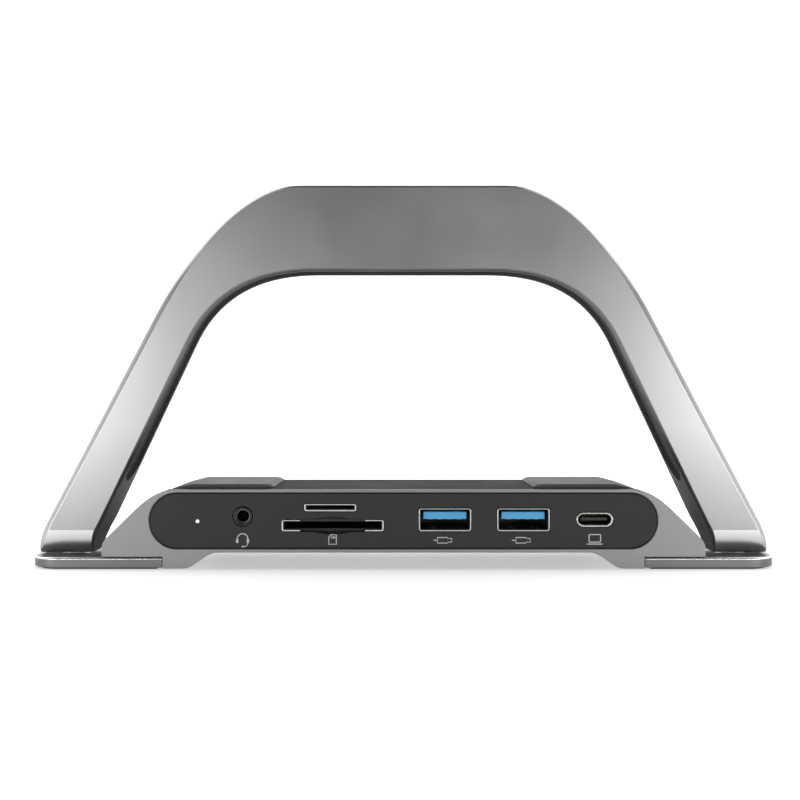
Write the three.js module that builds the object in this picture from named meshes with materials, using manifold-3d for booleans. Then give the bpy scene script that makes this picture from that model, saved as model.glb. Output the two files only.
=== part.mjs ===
// Laptop docking station with a fold-down support arch.
// Millimetres, +X to the right, +Y away from the port panel, +Z up.
// Everything is drawn with the port panel at y = 0 and the desk at z = 0. The outer
// group then moves the whole object back, so that its origin is the middle of its base.
import * as THREE from 'three';
import { mergeVertices } from 'three/addons/utils/BufferGeometryUtils.js';
import Module from 'manifold-3d';

const wasm = await Module();
wasm.setup();

// ---------- driving dimensions ----------

const GAP = 0.3;                    // clearance between neighbouring pieces
const PAST = 2;                     // how far a cutter runs past the face it cuts

// hub casing: a stadium-shaped tube in two halves
const CASE_HALF_WIDTH = 65;
const CASE_BOTTOM = 4.35;
const CASE_TOP = 20.3;
const CASE_WALL = 0.95;
const CASE_SPLIT = 12.3;            // height where the two covers meet
const PAD_TOP = 21.35;
const PAD_INNER = 33;
const PAD_OUTER = 57.5;
const PAD_FRONT = 3;
const PAD_REAR = 33.4;

// front frame: a thin lip round the port panel, with a bracket and a foot at each end
const LIP_DEPTH = 1.2;
const BRACKET_DEPTH = 14.5;
const BRACKET_HALF_WIDTH = 76;
const FRAME_TOP = 20.2;
const FRAME_BOTTOM = 4.3;
const FRAME_FOOT = 0.3;
const FRAME_FOOT_START = 46.5;      // the curve down into each foot starts here
const PANEL_THICKNESS = 1.6;
const PANEL_RECESS = 0.3;
const REAR_PANEL_FRONT = 35.4;
const REAR_PANEL_BACK = 38;
const REAR_PANEL_CHAMFER = 1.6;

// base plates and their rubber foot pads
const PLATE_HALF_WIDTH = 94.5;
const PLATE_INNER = 60.8;
const PLATE_DEPTH = 62;
const PLATE_BOTTOM = 0.45;
const PLATE_TOP = 3.1;
const PLATE_CORNER = 7;
const PLATE_CHAMFER = 0.5;
const FOOT_PAD_RIM = 1.4;           // metal left round the recess that holds the rubber
const FOOT_PAD_RECESS_TOP = 1.05;
const PLATE_SCREW = { x: 70.2, radius: 1.25, head: 2.2, headBottom: 1.2, headTop: 2.2, top: 8.2 };
const PLATE_SCREW_Y = [4.2, 12];

// arch
const ARCH_FRONT = 5.5;
const ARCH_TOP = 97.8;
const ARCH_OPENING_TOP = 75.7;
const ARCH_BOTTOM = 3.5;
const ARCH_THICK_FOOT = 16.8;       // front to back, at the height of the hinge
const ARCH_THICK_TOP = 9.9;         // front to back, at the top of the bar
const ARCH_CHAMFER = 0.8;
const OUTER_LEAN = 0.5225;          // how far a leg's edges lean inward per millimetre up
const INNER_LEAN = 0.4865;
const OUTER_CURVE_START = { x: 64.27, z: 63.21 };
const INNER_CURVE_START = { x: 54.84, z: 57.66 };
const FOOT_BEND = 12;               // below this height the legs turn upright
const FOOT_OUTER = 93.4;
const FOOT_INNER = 79.9;
const FOOT_ROUND = 5.9;             // height of the knuckle at the front of each foot
const FOOT_NOSE = 2.6;              // how far back the knuckle curves
const LINER_BOTTOM = 21.5;          // lower ends of the black liner's groove
const LINER_GROOVE_DEPTH = 1.9;
const LINER_RECESS = 0.95;          // the liner lies this far below the wall
const LINER_FRONT_RIM = 1.1;
const LINER_REAR_RIM = 1.9;

// hinges: a lug on each base plate stands in a slot in the arch's foot
const HINGE_X = 85.2;
const HINGE_Y = 14;
const HINGE_Z = 12;
const LUG_THICKNESS = 3;
const LUG_RADIUS = 5;
const LUG_STEM = 3.5;
const PIN = { radius: 2, from: 80.2, to: 88.8 };
const CAP = { radius: 2.4, to: 79.9 };
const WASHER = { radius: 4.2, thickness: 0.6 };
const SLOT_HALF_WIDTH = LUG_THICKNESS / 2 + WASHER.thickness + 2 * GAP;
const TAB = { halfWidth: 4, thickness: 1, end: 34, top: 2.95 };
const HINGE_SCREW = { radius: 0.8, head: 1.7, bottom: 1.2, sink: 0.6 };
const HINGE_SCREW_Y = [23.5, 30];

// circuit board and what is soldered to it
const BOARD_TOP = 9.2;
const BOARD_THICKNESS = 1.6;
const BOARD_HALF_WIDTH = 61.5;
const BOARD_FRONT = 2.6;
const BOARD_REAR = 34.6;
const ON_BOARD = BOARD_TOP + GAP;
const LED = { x: -51.9, z: 12.15, radius: 0.55, bend: 6 };
const JACK = { x: -40.5, z: 13.4, radius: 2.45, bore: 1.8, halfWidth: 3, top: 16.4, depth: 15 };
const MICRO_SD = { x: -18.45, z: 15.63, width: 13.1, height: 1.9, wall: 0.4, depth: 15 };
const SD = { x: -17.85, z: 11.1, width: 25.7, height: 2.9, wall: 0.4, depth: 28 };
const SCOOP = { width: 7.3, depth: 1.3, height: 2.2 };
const CARD_BOARD = { bottom: 13, top: 14.3, from: 4, to: 24 };
const USB_A = { z: 12.55, width: 13.2, height: 5.8, wall: 0.4, radius: 0.7, depth: 18 };
const USB_A_X = [10.45, 30.2];
const USB_A_TONGUE = { z: 13.55, width: 11, height: 1.9, front: 1.2 };
const USB_C = { z: 12.58, width: 9.2, height: 3.6, wall: 0.4, depth: 9 };
const USB_C_TONGUE = { width: 6.7, height: 0.7, front: 1.5 };
const USB_C_HOST_X = 48.15;
const USB_C_POWER_X = 46;
const VIDEO = { x: 16, z: 12.4, width: 15, height: 5.6, wall: 0.4, depth: 12 };
const NETWORK = { x: -47.5, z: 12.3, width: 15.8, height: 12, depth: 20 };
const NETWORK_MOUTH = { width: 11.8, height: 7.4, depth: 14, key: 4, keyHeight: 1.4 };
const HUB_CHIP = { x: 33, y: 23.2, size: 8, height: 1 };
const VIDEO_CHIP = { x: 48, y: 23.2, size: 7, height: 1 };
const THERMAL_PAD = { bottom: 10.8, top: 12 };
const SPREADER = { from: 27, to: 54, front: 19, rear: 27.4, bottom: 12.3, top: 13.3 };
const CASE_SCREW = { x: 58.4, radius: 1, head: 1.9, headBottom: 4.9, headTop: 6, top: 15 };
const CASE_SCREW_Y = [7, 31];
const PILLAR_RADIUS = 2.2;
const BOSS_RADIUS = 3;

const CASE_MIDDLE = (CASE_BOTTOM + CASE_TOP) / 2;
const CASE_HEIGHT = CASE_TOP - CASE_BOTTOM;
const CAVITY_HALF_WIDTH = CASE_HALF_WIDTH - CASE_WALL;
const CAVITY_HEIGHT = CASE_HEIGHT - 2 * CASE_WALL;

// ---------- solids: three.js geometry into manifold and back ----------

const CURVE_STEPS = 5;
const ARCH_STEPS = 8;
const ROUND_STEPS = 12;
const SHORTEST_EDGE = 0.01;

function toSolid(geometry) {
  const plain = geometry.clone();
  plain.deleteAttribute('normal');
  plain.deleteAttribute('uv');
  const merged = mergeVertices(plain, 1e-4);
  return new wasm.Manifold(new wasm.Mesh({
    numProp: 3,
    vertProperties: new Float32Array(merged.attributes.position.array),
    triVerts: new Uint32Array(merged.index.array),
  }));
}

function toGeometry(solid) {
  const mesh = solid.getMesh();
  const positions = new THREE.BufferAttribute(new Float32Array(mesh.vertProperties), 3);
  const geometry = new THREE.BufferGeometry().setAttribute('position', positions);
  geometry.setIndex(new THREE.BufferAttribute(new Uint32Array(mesh.triVerts), 1));
  geometry.computeVertexNormals();
  return geometry;
}

const cut = (solid, ...tools) => tools.reduce((left, tool) => left.subtract(tool), solid);
const join = (...solids) => solids.reduce((left, right) => left.add(right));
const overlap = (...solids) => solids.reduce((left, right) => left.intersect(right));

// The axes that an outline's own x, y and depth turn into.
const DIRECTIONS = {
  X: [[0, 1, 0], [0, 0, 1], [1, 0, 0]],
  Y: [[1, 0, 0], [0, 0, 1], [0, -1, 0]],
  Z: [[1, 0, 0], [0, 1, 0], [0, 0, 1]],
};

// The outline's points, without the doubled ones where an arc meets a line.
function cornersOf(outline) {
  const points = outline.getPoints(CURVE_STEPS);
  const distinct = points.filter((point, index) => (
    point.distanceTo(points[(index + 1) % points.length]) > SHORTEST_EDGE));
  return new THREE.Shape(distinct);
}

// Extrudes an outline along an axis between two coordinates. The outline is in (y, z)
// along X, (x, z) along Y and (x, y) along Z. A chamfer breaks both end edges.
function extrude(outline, axis, from, to, chamfer = 0) {
  const geometry = new THREE.ExtrudeGeometry(cornersOf(outline), {
    depth: to - from - 2 * chamfer,
    bevelEnabled: chamfer > 0,
    bevelThickness: chamfer,
    bevelSize: chamfer,
    bevelOffset: -chamfer,
    bevelSegments: 1,
  });
  const vectors = DIRECTIONS[axis].map((direction) => new THREE.Vector3(...direction));
  geometry.translate(0, 0, axis === 'Y' ? chamfer - to : chamfer + from);
  geometry.applyMatrix4(new THREE.Matrix4().makeBasis(...vectors));
  return toSolid(geometry);
}

function block(x0, x1, y0, y1, z0, z1) {
  const geometry = new THREE.BoxGeometry(x1 - x0, y1 - y0, z1 - z0);
  geometry.translate((x0 + x1) / 2, (y0 + y1) / 2, (z0 + z1) / 2);
  return toSolid(geometry);
}

// A cylinder along an axis. a and b place its centre line, in X, Y, Z order.
function rod(axis, radius, from, to, a, b, steps = ROUND_STEPS) {
  const geometry = new THREE.CylinderGeometry(radius, radius, to - from, steps);
  const middle = (from + to) / 2;
  if (axis === 'X') geometry.rotateZ(Math.PI / 2).translate(middle, a, b);
  if (axis === 'Y') geometry.translate(a, middle, b);
  if (axis === 'Z') geometry.rotateX(Math.PI / 2).translate(a, b, middle);
  return toSolid(geometry);
}

// ---------- outlines ----------

function roundedRectangle(x, z, width, height, radius) {
  const r = Math.min(radius, height / 2 - 0.001);
  const [x0, x1, z0, z1] = [x - width / 2, x + width / 2, z - height / 2, z + height / 2];
  const shape = new THREE.Shape();
  shape.moveTo(x0 + r, z0);
  shape.lineTo(x1 - r, z0);
  shape.absarc(x1 - r, z0 + r, r, -Math.PI / 2, 0);
  shape.absarc(x1 - r, z1 - r, r, 0, Math.PI / 2);
  shape.absarc(x0 + r, z1 - r, r, Math.PI / 2, Math.PI);
  shape.absarc(x0 + r, z0 + r, r, Math.PI, Math.PI * 1.5);
  return shape;
}

// The casing's outline, grown or shrunk all round.
const stadium = (halfWidth, height) => (
  roundedRectangle(0, CASE_MIDDLE, 2 * halfWidth, height, height / 2));

// Mirrors a run of points to the left side and turns its order round.
const flipped = (points) => points.map((point) => new THREE.Vector2(-point.x, point.y)).reverse();

// Mirrors a right-hand solid to make the left-hand one.
const forSide = (side, solid) => (side > 0 ? solid : solid.mirror([1, 0, 0]));

// ---------- finishes ----------

const finish = (color, roughness, metalness) => ({ color, roughness, metalness });
const SATIN = finish(0x9a9a9c, 0.38, 0.9);
const GRAPHITE = finish(0x454548, 0.55, 0.2);
const CHARCOAL = finish(0x333335, 0.5, 0);
const BLACK = finish(0x161617, 0.7, 0);
const GREY_RUBBER = finish(0x6c6c6e, 0.8, 0);
const STEEL = finish(0xb8b8bc, 0.3, 1);
const BLUE = finish(0x2f8fc4, 0.45, 0);
const BOARD_GREEN = finish(0x1f5a3c, 0.6, 0);
const WHITE = finish(0xf4f6ff, 0.3, 0);

const dock = new THREE.Group();
const arch = new THREE.Group();
dock.add(arch);

function piece(name, solid, look, group = dock) {
  const mesh = new THREE.Mesh(toGeometry(solid), new THREE.MeshStandardMaterial(look));
  mesh.name = name;
  group.add(mesh);
}

// ---------- front frame ----------

function frameOutline() {
  const half = new THREE.Path();
  half.moveTo(FRAME_FOOT_START, FRAME_BOTTOM);
  half.bezierCurveTo(50.5, FRAME_BOTTOM, 52.2, FRAME_FOOT, 55.5, FRAME_FOOT);
  half.lineTo(PLATE_INNER - GAP, FRAME_FOOT);
  half.lineTo(PLATE_INNER - GAP, PLATE_TOP + GAP);
  half.lineTo(BRACKET_HALF_WIDTH, PLATE_TOP + GAP);
  half.lineTo(BRACKET_HALF_WIDTH, 4.8);
  half.bezierCurveTo(BRACKET_HALF_WIDTH, 6.8, 75.1, 7.6, 74.2, 8.5);
  half.lineTo(67.2, 15.4);
  half.bezierCurveTo(63.6, 18.6, 61, FRAME_TOP, 56.8, FRAME_TOP);
  const right = half.getPoints(CURVE_STEPS);
  return new THREE.Shape([...right, ...flipped(right)]);
}

function frontFrame() {
  const blank = extrude(frameOutline(), 'Y', 0, BRACKET_DEPTH);
  const window = extrude(stadium(CAVITY_HALF_WIDTH, CAVITY_HEIGHT), 'Y', -PAST, LIP_DEPTH + PAST);
  const seat = extrude(stadium(CASE_HALF_WIDTH + GAP, CASE_HEIGHT + 2 * GAP), 'Y',
    LIP_DEPTH, BRACKET_DEPTH + PAST);
  const middle = block(-FRAME_FOOT_START, FRAME_FOOT_START,
    LIP_DEPTH, BRACKET_DEPTH + PAST, 0, FRAME_TOP + PAST);
  const bores = PLATE_SCREW_Y.flatMap((y) => [1, -1].map((side) => (
    rod('Z', PLATE_SCREW.radius + GAP, 0, PLATE_SCREW.top + GAP, side * PLATE_SCREW.x, y))));
  piece('front_frame', cut(blank, window, seat, middle, ...bores), SATIN);
}

// ---------- base plates ----------

// Seen from above: straight in front, rounded at the outer corner, and drawn in behind.
function plateOutline(inset) {
  const [x0, x1] = [PLATE_INNER + inset, PLATE_HALF_WIDTH - inset];
  const [y0, y1] = [inset, PLATE_DEPTH - inset];
  const corner = PLATE_CORNER - inset;
  const rearCorner = 4 - inset;
  const shape = new THREE.Shape();
  shape.moveTo(x0, y0);
  shape.lineTo(x1 - corner, y0);
  shape.absarc(x1 - corner, y0 + corner, corner, -Math.PI / 2, 0);
  shape.lineTo(x1, 20);
  shape.bezierCurveTo(x1, 27, x1 - 1.2, 31, x1 - 3.2, 36);
  shape.lineTo(77.5 - inset, 57 - inset);
  shape.quadraticCurveTo(74.5 - inset, y1, 70 - inset, y1);
  shape.lineTo(x0 + rearCorner, y1);
  shape.absarc(x0 + rearCorner, y1 - rearCorner, rearCorner, Math.PI / 2, Math.PI);
  return shape;
}

function basePlate(name, side) {
  const plate = extrude(plateOutline(0), 'Z', PLATE_BOTTOM, PLATE_TOP, PLATE_CHAMFER);
  const padRecess = extrude(plateOutline(FOOT_PAD_RIM), 'Z',
    PLATE_BOTTOM - PAST, FOOT_PAD_RECESS_TOP);
  const tabRecess = block(HINGE_X - TAB.halfWidth - GAP, HINGE_X + TAB.halfWidth + GAP,
    HINGE_Y - LUG_RADIUS - GAP, TAB.end + GAP, TAB.top - TAB.thickness - GAP, PLATE_TOP + PAST);
  const hingeBores = HINGE_SCREW_Y.map((y) => (
    rod('Z', HINGE_SCREW.radius + GAP, 0, PLATE_TOP, HINGE_X, y)));
  const frameBores = PLATE_SCREW_Y.flatMap((y) => [
    rod('Z', PLATE_SCREW.radius + GAP, 0, PLATE_TOP + PAST, PLATE_SCREW.x, y),
    rod('Z', PLATE_SCREW.head + GAP, 0, PLATE_SCREW.headTop + GAP, PLATE_SCREW.x, y),
  ]);
  const solid = cut(plate, padRecess, tabRecess, ...hingeBores, ...frameBores);
  piece(`base_plate_${name}`, forSide(side, solid), SATIN);
}

function footPad(name, side) {
  const pad = extrude(plateOutline(FOOT_PAD_RIM + GAP), 'Z', 0, FOOT_PAD_RECESS_TOP - GAP);
  piece(`foot_pad_${name}`, forSide(side, pad), BLACK);
}

// A screw with a round head at the bottom and a hexagonal socket in it.
function screwUp(name, size, x, y) {
  const head = rod('Z', size.head, size.headBottom, size.headTop, x, y);
  const shank = rod('Z', size.radius, size.headBottom + GAP, size.top, x, y);
  const drive = rod('Z', size.radius * 0.8, size.headBottom - PAST, size.headTop - GAP, x, y, 6);
  piece(name, cut(join(head, shank), drive), STEEL);
}

// ---------- hinges ----------

function hingeBracket(name, side) {
  const [x0, x1] = [HINGE_X - LUG_THICKNESS / 2, HINGE_X + LUG_THICKNESS / 2];
  const tabBottom = TAB.top - TAB.thickness;
  const ring = rod('X', LUG_RADIUS, x0, x1, HINGE_Y, HINGE_Z);
  const stem = block(x0, x1, HINGE_Y - LUG_STEM, HINGE_Y + LUG_STEM, tabBottom, HINGE_Z);
  const tab = block(HINGE_X - TAB.halfWidth, HINGE_X + TAB.halfWidth, HINGE_Y - LUG_RADIUS, TAB.end,
    tabBottom, TAB.top);
  const bore = rod('X', PIN.radius + GAP, x0 - PAST, x1 + PAST, HINGE_Y, HINGE_Z);
  const holes = HINGE_SCREW_Y.flatMap((y) => [
    rod('Z', HINGE_SCREW.radius + GAP, 0, PLATE_TOP, HINGE_X, y),
    rod('Z', HINGE_SCREW.head + GAP, TAB.top - HINGE_SCREW.sink, PLATE_TOP, HINGE_X, y),
  ]);
  piece(`hinge_bracket_${name}`, forSide(side, cut(join(ring, stem, tab), bore, ...holes)), STEEL);
}

function hingeScrew(name, side, y) {
  const headBottom = TAB.top - HINGE_SCREW.sink + GAP;
  const head = rod('Z', HINGE_SCREW.head, headBottom, TAB.top, HINGE_X, y);
  const shank = rod('Z', HINGE_SCREW.radius, HINGE_SCREW.bottom, TAB.top - 0.1, HINGE_X, y);
  piece(name, forSide(side, join(head, shank)), STEEL);
}

function hingePin(name, side) {
  const pin = rod('X', PIN.radius, PIN.from, PIN.to, HINGE_Y, HINGE_Z);
  piece(`hinge_pin_${name}`, forSide(side, pin), STEEL, arch);
}

function frictionWashers(name, side) {
  const offset = LUG_THICKNESS / 2 + GAP;
  const starts = { inner: HINGE_X - offset - WASHER.thickness, outer: HINGE_X + offset };
  for (const [place, from] of Object.entries(starts)) {
    const to = from + WASHER.thickness;
    const disc = rod('X', WASHER.radius, from, to, HINGE_Y, HINGE_Z);
    const bore = rod('X', PIN.radius + GAP, from - PAST, to + PAST, HINGE_Y, HINGE_Z);
    piece(`friction_washer_${name}_${place}`, forSide(side, cut(disc, bore)), STEEL, arch);
  }
}

// ---------- arch ----------

const OUTER_BEND_X = OUTER_CURVE_START.x + (OUTER_CURVE_START.z - FOOT_BEND) * OUTER_LEAN;
const INNER_BEND_X = INNER_CURVE_START.x + (INNER_CURVE_START.z - FOOT_BEND) * INNER_LEAN;

// The right leg's outer edge, from the foot up to the flat top of the bar.
function outerEdge() {
  const edge = new THREE.Path();
  edge.moveTo(FOOT_OUTER, ARCH_BOTTOM);
  edge.bezierCurveTo(FOOT_OUTER, 7.2, OUTER_BEND_X + 1.6 * OUTER_LEAN, FOOT_BEND - 1.6,
    OUTER_BEND_X, FOOT_BEND);
  edge.lineTo(OUTER_CURVE_START.x, OUTER_CURVE_START.z);
  edge.bezierCurveTo(54.63, 81.66, 40.26, ARCH_TOP, 26.78, ARCH_TOP);
  return edge.getPoints(ARCH_STEPS);
}

// The opening's edge, from its flat top down the right leg to the foot.
function innerEdge() {
  const edge = new THREE.Path();
  edge.moveTo(21.4, ARCH_OPENING_TOP);
  edge.bezierCurveTo(30.3, ARCH_OPENING_TOP, 46.4, 74.9,
    INNER_CURVE_START.x, INNER_CURVE_START.z);
  edge.lineTo(INNER_BEND_X, FOOT_BEND);
  edge.bezierCurveTo(INNER_BEND_X + 2 * INNER_LEAN, FOOT_BEND - 2, FOOT_INNER, 7.4,
    FOOT_INNER, ARCH_BOTTOM);
  return edge.getPoints(ARCH_STEPS);
}

function archOutline() {
  const [outer, inner] = [outerEdge(), innerEdge()];
  return new THREE.Shape([...outer, ...flipped(outer), ...flipped(inner), ...inner]);
}

// How far back the arch's rear face is, at a height.
function rearAt(z) {
  const share = (z - HINGE_Z) / (ARCH_TOP - HINGE_Z);
  return ARCH_FRONT + ARCH_THICK_FOOT + (ARCH_THICK_TOP - ARCH_THICK_FOOT) * share;
}

// The arch from its side: an upright front, a back that leans forward, a knuckle in
// front of the foot, and a round heel about the hinge.
function archProfile() {
  const shape = new THREE.Shape();
  const knuckle = ARCH_BOTTOM + FOOT_ROUND;
  shape.moveTo(ARCH_FRONT, ARCH_TOP + PAST);
  shape.lineTo(ARCH_FRONT, knuckle);
  shape.absellipse(ARCH_FRONT + FOOT_NOSE, knuckle, FOOT_NOSE, FOOT_ROUND,
    Math.PI, Math.PI * 1.5);
  shape.lineTo(HINGE_Y, ARCH_BOTTOM);
  shape.absellipse(HINGE_Y, HINGE_Z, rearAt(HINGE_Z) - HINGE_Y, HINGE_Z - ARCH_BOTTOM,
    -Math.PI / 2, 0);
  shape.lineTo(rearAt(ARCH_TOP + PAST), ARCH_TOP + PAST);
  return shape;
}

// A band that follows the opening, between two depths below its wall.
function wallBand(near, far) {
  const right = innerEdge().filter((point) => point.y >= FOOT_BEND);
  const wall = [...flipped(right), ...right];
  const shifted = (depth) => wall.map((point, index) => {
    const before = wall[Math.max(index - 1, 0)];
    const after = wall[Math.min(index + 1, wall.length - 1)];
    const along = new THREE.Vector2().subVectors(after, before).normalize();
    return new THREE.Vector2(point.x - along.y * depth, point.y + along.x * depth);
  });
  return new THREE.Shape([...shifted(near), ...shifted(far).reverse()]);
}

// The liner's groove from its side, round at its lower end.
function grooveProfile(inset) {
  const front = ARCH_FRONT + LINER_FRONT_RIM + inset;
  const bottom = LINER_BOTTOM + inset;
  const rear = rearAt(bottom) - LINER_REAR_RIM - inset;
  const radius = (rear - front) / 2;
  const shape = new THREE.Shape();
  shape.moveTo(front, ARCH_TOP);
  shape.lineTo(front, bottom + radius);
  shape.absarc(front + radius, bottom + radius, radius, Math.PI, Math.PI * 2);
  shape.lineTo(rearAt(ARCH_TOP) - LINER_REAR_RIM - inset, ARCH_TOP);
  return shape;
}

// Room for the lug at every angle of the arch, from straight down to straight back.
function lugSlot() {
  const [x0, x1] = [HINGE_X - SLOT_HALF_WIDTH, HINGE_X + SLOT_HALF_WIDTH];
  const back = HINGE_Y + ARCH_THICK_FOOT;
  return join(
    rod('X', LUG_RADIUS + 2 * GAP, x0, x1, HINGE_Y, HINGE_Z),
    block(x0, x1, HINGE_Y - LUG_STEM - GAP, back, ARCH_BOTTOM - PAST, HINGE_Z),
    block(x0, x1, HINGE_Y, back, HINGE_Z - PAST, HINGE_Z + LUG_STEM + 3 * GAP),
  );
}

function archPieces() {
  const rear = ARCH_FRONT + ARCH_THICK_FOOT + PAST;
  const width = FOOT_OUTER + PAST;
  const blank = overlap(
    extrude(archOutline(), 'Y', ARCH_FRONT, rear, ARCH_CHAMFER),
    extrude(archProfile(), 'X', -width, width),
  );
  const groove = overlap(
    extrude(wallBand(-PAST, LINER_GROOVE_DEPTH), 'Y', 0, rear),
    extrude(grooveProfile(0), 'X', -width, width),
  );
  const right = [
    lugSlot(),
    rod('X', PIN.radius + GAP, PIN.from - PAST, PIN.to + GAP, HINGE_Y, HINGE_Z),
    rod('X', CAP.radius + GAP, CAP.to - 2 * PAST, CAP.to + GAP, HINGE_Y, HINGE_Z),
  ];
  const cutters = right.flatMap((tool) => [tool, forSide(-1, tool)]);
  piece('arch_frame', cut(blank, groove, ...cutters), SATIN, arch);

  const liner = overlap(
    extrude(wallBand(LINER_RECESS, LINER_GROOVE_DEPTH - GAP), 'Y', 0, rear),
    extrude(grooveProfile(GAP), 'X', -width, width),
  );
  piece('arch_liner', liner, BLACK, arch);

  const cap = overlap(rod('X', CAP.radius, CAP.to - 2 * PAST, CAP.to, HINGE_Y, HINGE_Z), blank);
  piece('hinge_cap_right', cap, SATIN, arch);
  piece('hinge_cap_left', forSide(-1, cap), SATIN, arch);
}

// ---------- hub casing ----------

const casingBar = () => (
  extrude(stadium(CASE_HALF_WIDTH, CASE_HEIGHT), 'Y', LIP_DEPTH + GAP, REAR_PANEL_FRONT - GAP));

const casingTube = () => (
  cut(casingBar(), extrude(stadium(CAVITY_HALF_WIDTH, CAVITY_HEIGHT), 'Y', 0, REAR_PANEL_BACK)));

const caseScrewPlaces = [1, -1].flatMap((side) => CASE_SCREW_Y.map((y) => [side * CASE_SCREW.x, y]));

function topCover() {
  const half = block(-CASE_HALF_WIDTH, CASE_HALF_WIDTH, 0, REAR_PANEL_BACK,
    CASE_SPLIT + GAP / 2, CASE_TOP);
  const shell = overlap(casingTube(), half);
  const pillars = caseScrewPlaces.map(([x, y]) => (
    rod('Z', PILLAR_RADIUS, ON_BOARD, CASE_TOP - CASE_WALL, x, y)));
  const bores = caseScrewPlaces.map(([x, y]) => (
    rod('Z', CASE_SCREW.radius + GAP, CASE_BOTTOM, CASE_SCREW.top + GAP, x, y)));
  piece('top_cover', cut(join(shell, ...pillars), ...bores), GRAPHITE);
}

function bottomCover() {
  const half = block(-CASE_HALF_WIDTH, CASE_HALF_WIDTH, 0, REAR_PANEL_BACK,
    CASE_BOTTOM, CASE_SPLIT - GAP / 2);
  const shell = overlap(casingTube(), half);
  const bossTop = BOARD_TOP - BOARD_THICKNESS - GAP;
  const bosses = caseScrewPlaces.map(([x, y]) => (
    overlap(rod('Z', BOSS_RADIUS, CASE_BOTTOM, bossTop, x, y), casingBar())));
  const bores = caseScrewPlaces.flatMap(([x, y]) => [
    rod('Z', CASE_SCREW.radius + GAP, 0, bossTop + PAST, x, y),
    rod('Z', CASE_SCREW.head + GAP, 0, CASE_SCREW.headTop + GAP / 2, x, y),
  ]);
  piece('bottom_cover', cut(join(shell, ...bosses), ...bores), GRAPHITE);
}

function topPad(name, side) {
  const bevel = 1.8;
  const bottom = CASE_TOP + GAP;
  const shape = new THREE.Shape();
  shape.moveTo(PAD_INNER, bottom);
  shape.lineTo(PAD_OUTER - 0.6, bottom);
  shape.lineTo(PAD_OUTER - 2 * bevel, PAD_TOP);
  shape.lineTo(PAD_INNER + bevel, PAD_TOP);
  piece(`top_pad_${name}`, forSide(side, extrude(shape, 'Y', PAD_FRONT, PAD_REAR)), GREY_RUBBER);
}

// ---------- connectors ----------

const outlineOf = (size, x, grow, radius = size.height / 2) => (
  roundedRectangle(x, size.z, size.width + 2 * grow, size.height + 2 * grow,
    Math.max(radius + grow, 0.1)));

const usbAOutline = (x, grow) => outlineOf(USB_A, x, grow, USB_A.radius);
const usbCOutline = (x, grow) => outlineOf(USB_C, x, grow);
const cardOutline = (size, grow) => outlineOf(size, size.x, grow, 0.5);

// A video socket's outline: a rectangle whose two lower corners are cut away.
function videoOutline(grow) {
  const [w, h] = [VIDEO.width / 2 + grow, VIDEO.height / 2 + grow];
  const corners = [[-w, h], [-w, -0.6], [-w + 2.2, -h], [w - 2.2, -h], [w, -0.6], [w, h]];
  return new THREE.Shape(corners.map(([x, z]) => new THREE.Vector2(VIDEO.x + x, VIDEO.z + z)));
}

// A metal shell closed at its inner end. mouth and back are the y of its two ends.
function shell(name, outline, wall, mouth, back) {
  const inward = Math.sign(back - mouth);
  const [y0, y1] = [Math.min(mouth, back), Math.max(mouth, back)];
  const [c0, c1] = [mouth - inward * PAST, back - inward * wall].sort((a, b) => a - b);
  piece(name, cut(extrude(outline(0), 'Y', y0, y1), extrude(outline(-wall), 'Y', c0, c1)), STEEL);
}

// A contact blade on a base block that fills the back of its shell.
function tongue(name, x, z, blade, base, mouth, back, look) {
  const inward = Math.sign(back - mouth);
  const root = back - inward * base.depth;
  const part = (width, height, z0, from, to) => {
    const [y0, y1] = [from, to].sort((a, b) => a - b);
    return block(x - width / 2, x + width / 2, y0, y1, z0 - height / 2, z0 + height / 2);
  };
  const solid = join(
    part(blade.width, blade.height, blade.z ?? z, mouth + inward * blade.front, root + inward * GAP),
    part(base.width, base.height, z, root, back),
  );
  piece(name, solid, look);
}

function usbAPort(name, x) {
  const back = PANEL_RECESS + USB_A.depth;
  shell(`${name}_shell`, (grow) => usbAOutline(x, grow), USB_A.wall, PANEL_RECESS, back);
  const base = { width: 11.4, height: 4, depth: 3.5 };
  tongue(`${name}_tongue`, x, USB_A.z, USB_A_TONGUE, base,
    PANEL_RECESS, back - USB_A.wall - GAP, BLUE);
}

function usbCPort(name, x, mouth, inward) {
  const back = mouth + inward * USB_C.depth;
  shell(`${name}_shell`, (grow) => usbCOutline(x, grow), USB_C.wall, mouth, back);
  const base = { width: 6.4, height: 1.9, depth: 1.6 };
  tongue(`${name}_tongue`, x, USB_C.z, USB_C_TONGUE, base,
    mouth, back - inward * (USB_C.wall + GAP), BLACK);
}

function videoPort() {
  const back = REAR_PANEL_BACK - VIDEO.depth;
  shell('video_port_shell', videoOutline, VIDEO.wall, REAR_PANEL_BACK, back);
  const blade = { width: 11, height: 1.2, front: 1.5 };
  const base = { width: 9, height: 3.6, depth: 3 };
  tongue('video_port_tongue', VIDEO.x, VIDEO.z, blade, base,
    REAR_PANEL_BACK, back + VIDEO.wall + GAP, BLACK);
}

function thumbScoop() {
  const geometry = new THREE.SphereGeometry(1, 16, 8);
  geometry.scale(SCOOP.width, SCOOP.depth, SCOOP.height);
  geometry.translate(SD.x, PANEL_RECESS, SD.z);
  return toSolid(geometry);
}

function cardSocket(name, size, ...cutters) {
  const body = extrude(cardOutline(size, 0), 'Y', PANEL_RECESS, PANEL_RECESS + size.depth);
  const slot = extrude(cardOutline(size, -size.wall), 'Y', -PAST, PANEL_RECESS + size.depth - 1.5);
  piece(name, cut(body, slot, ...cutters), STEEL);
}

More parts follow.
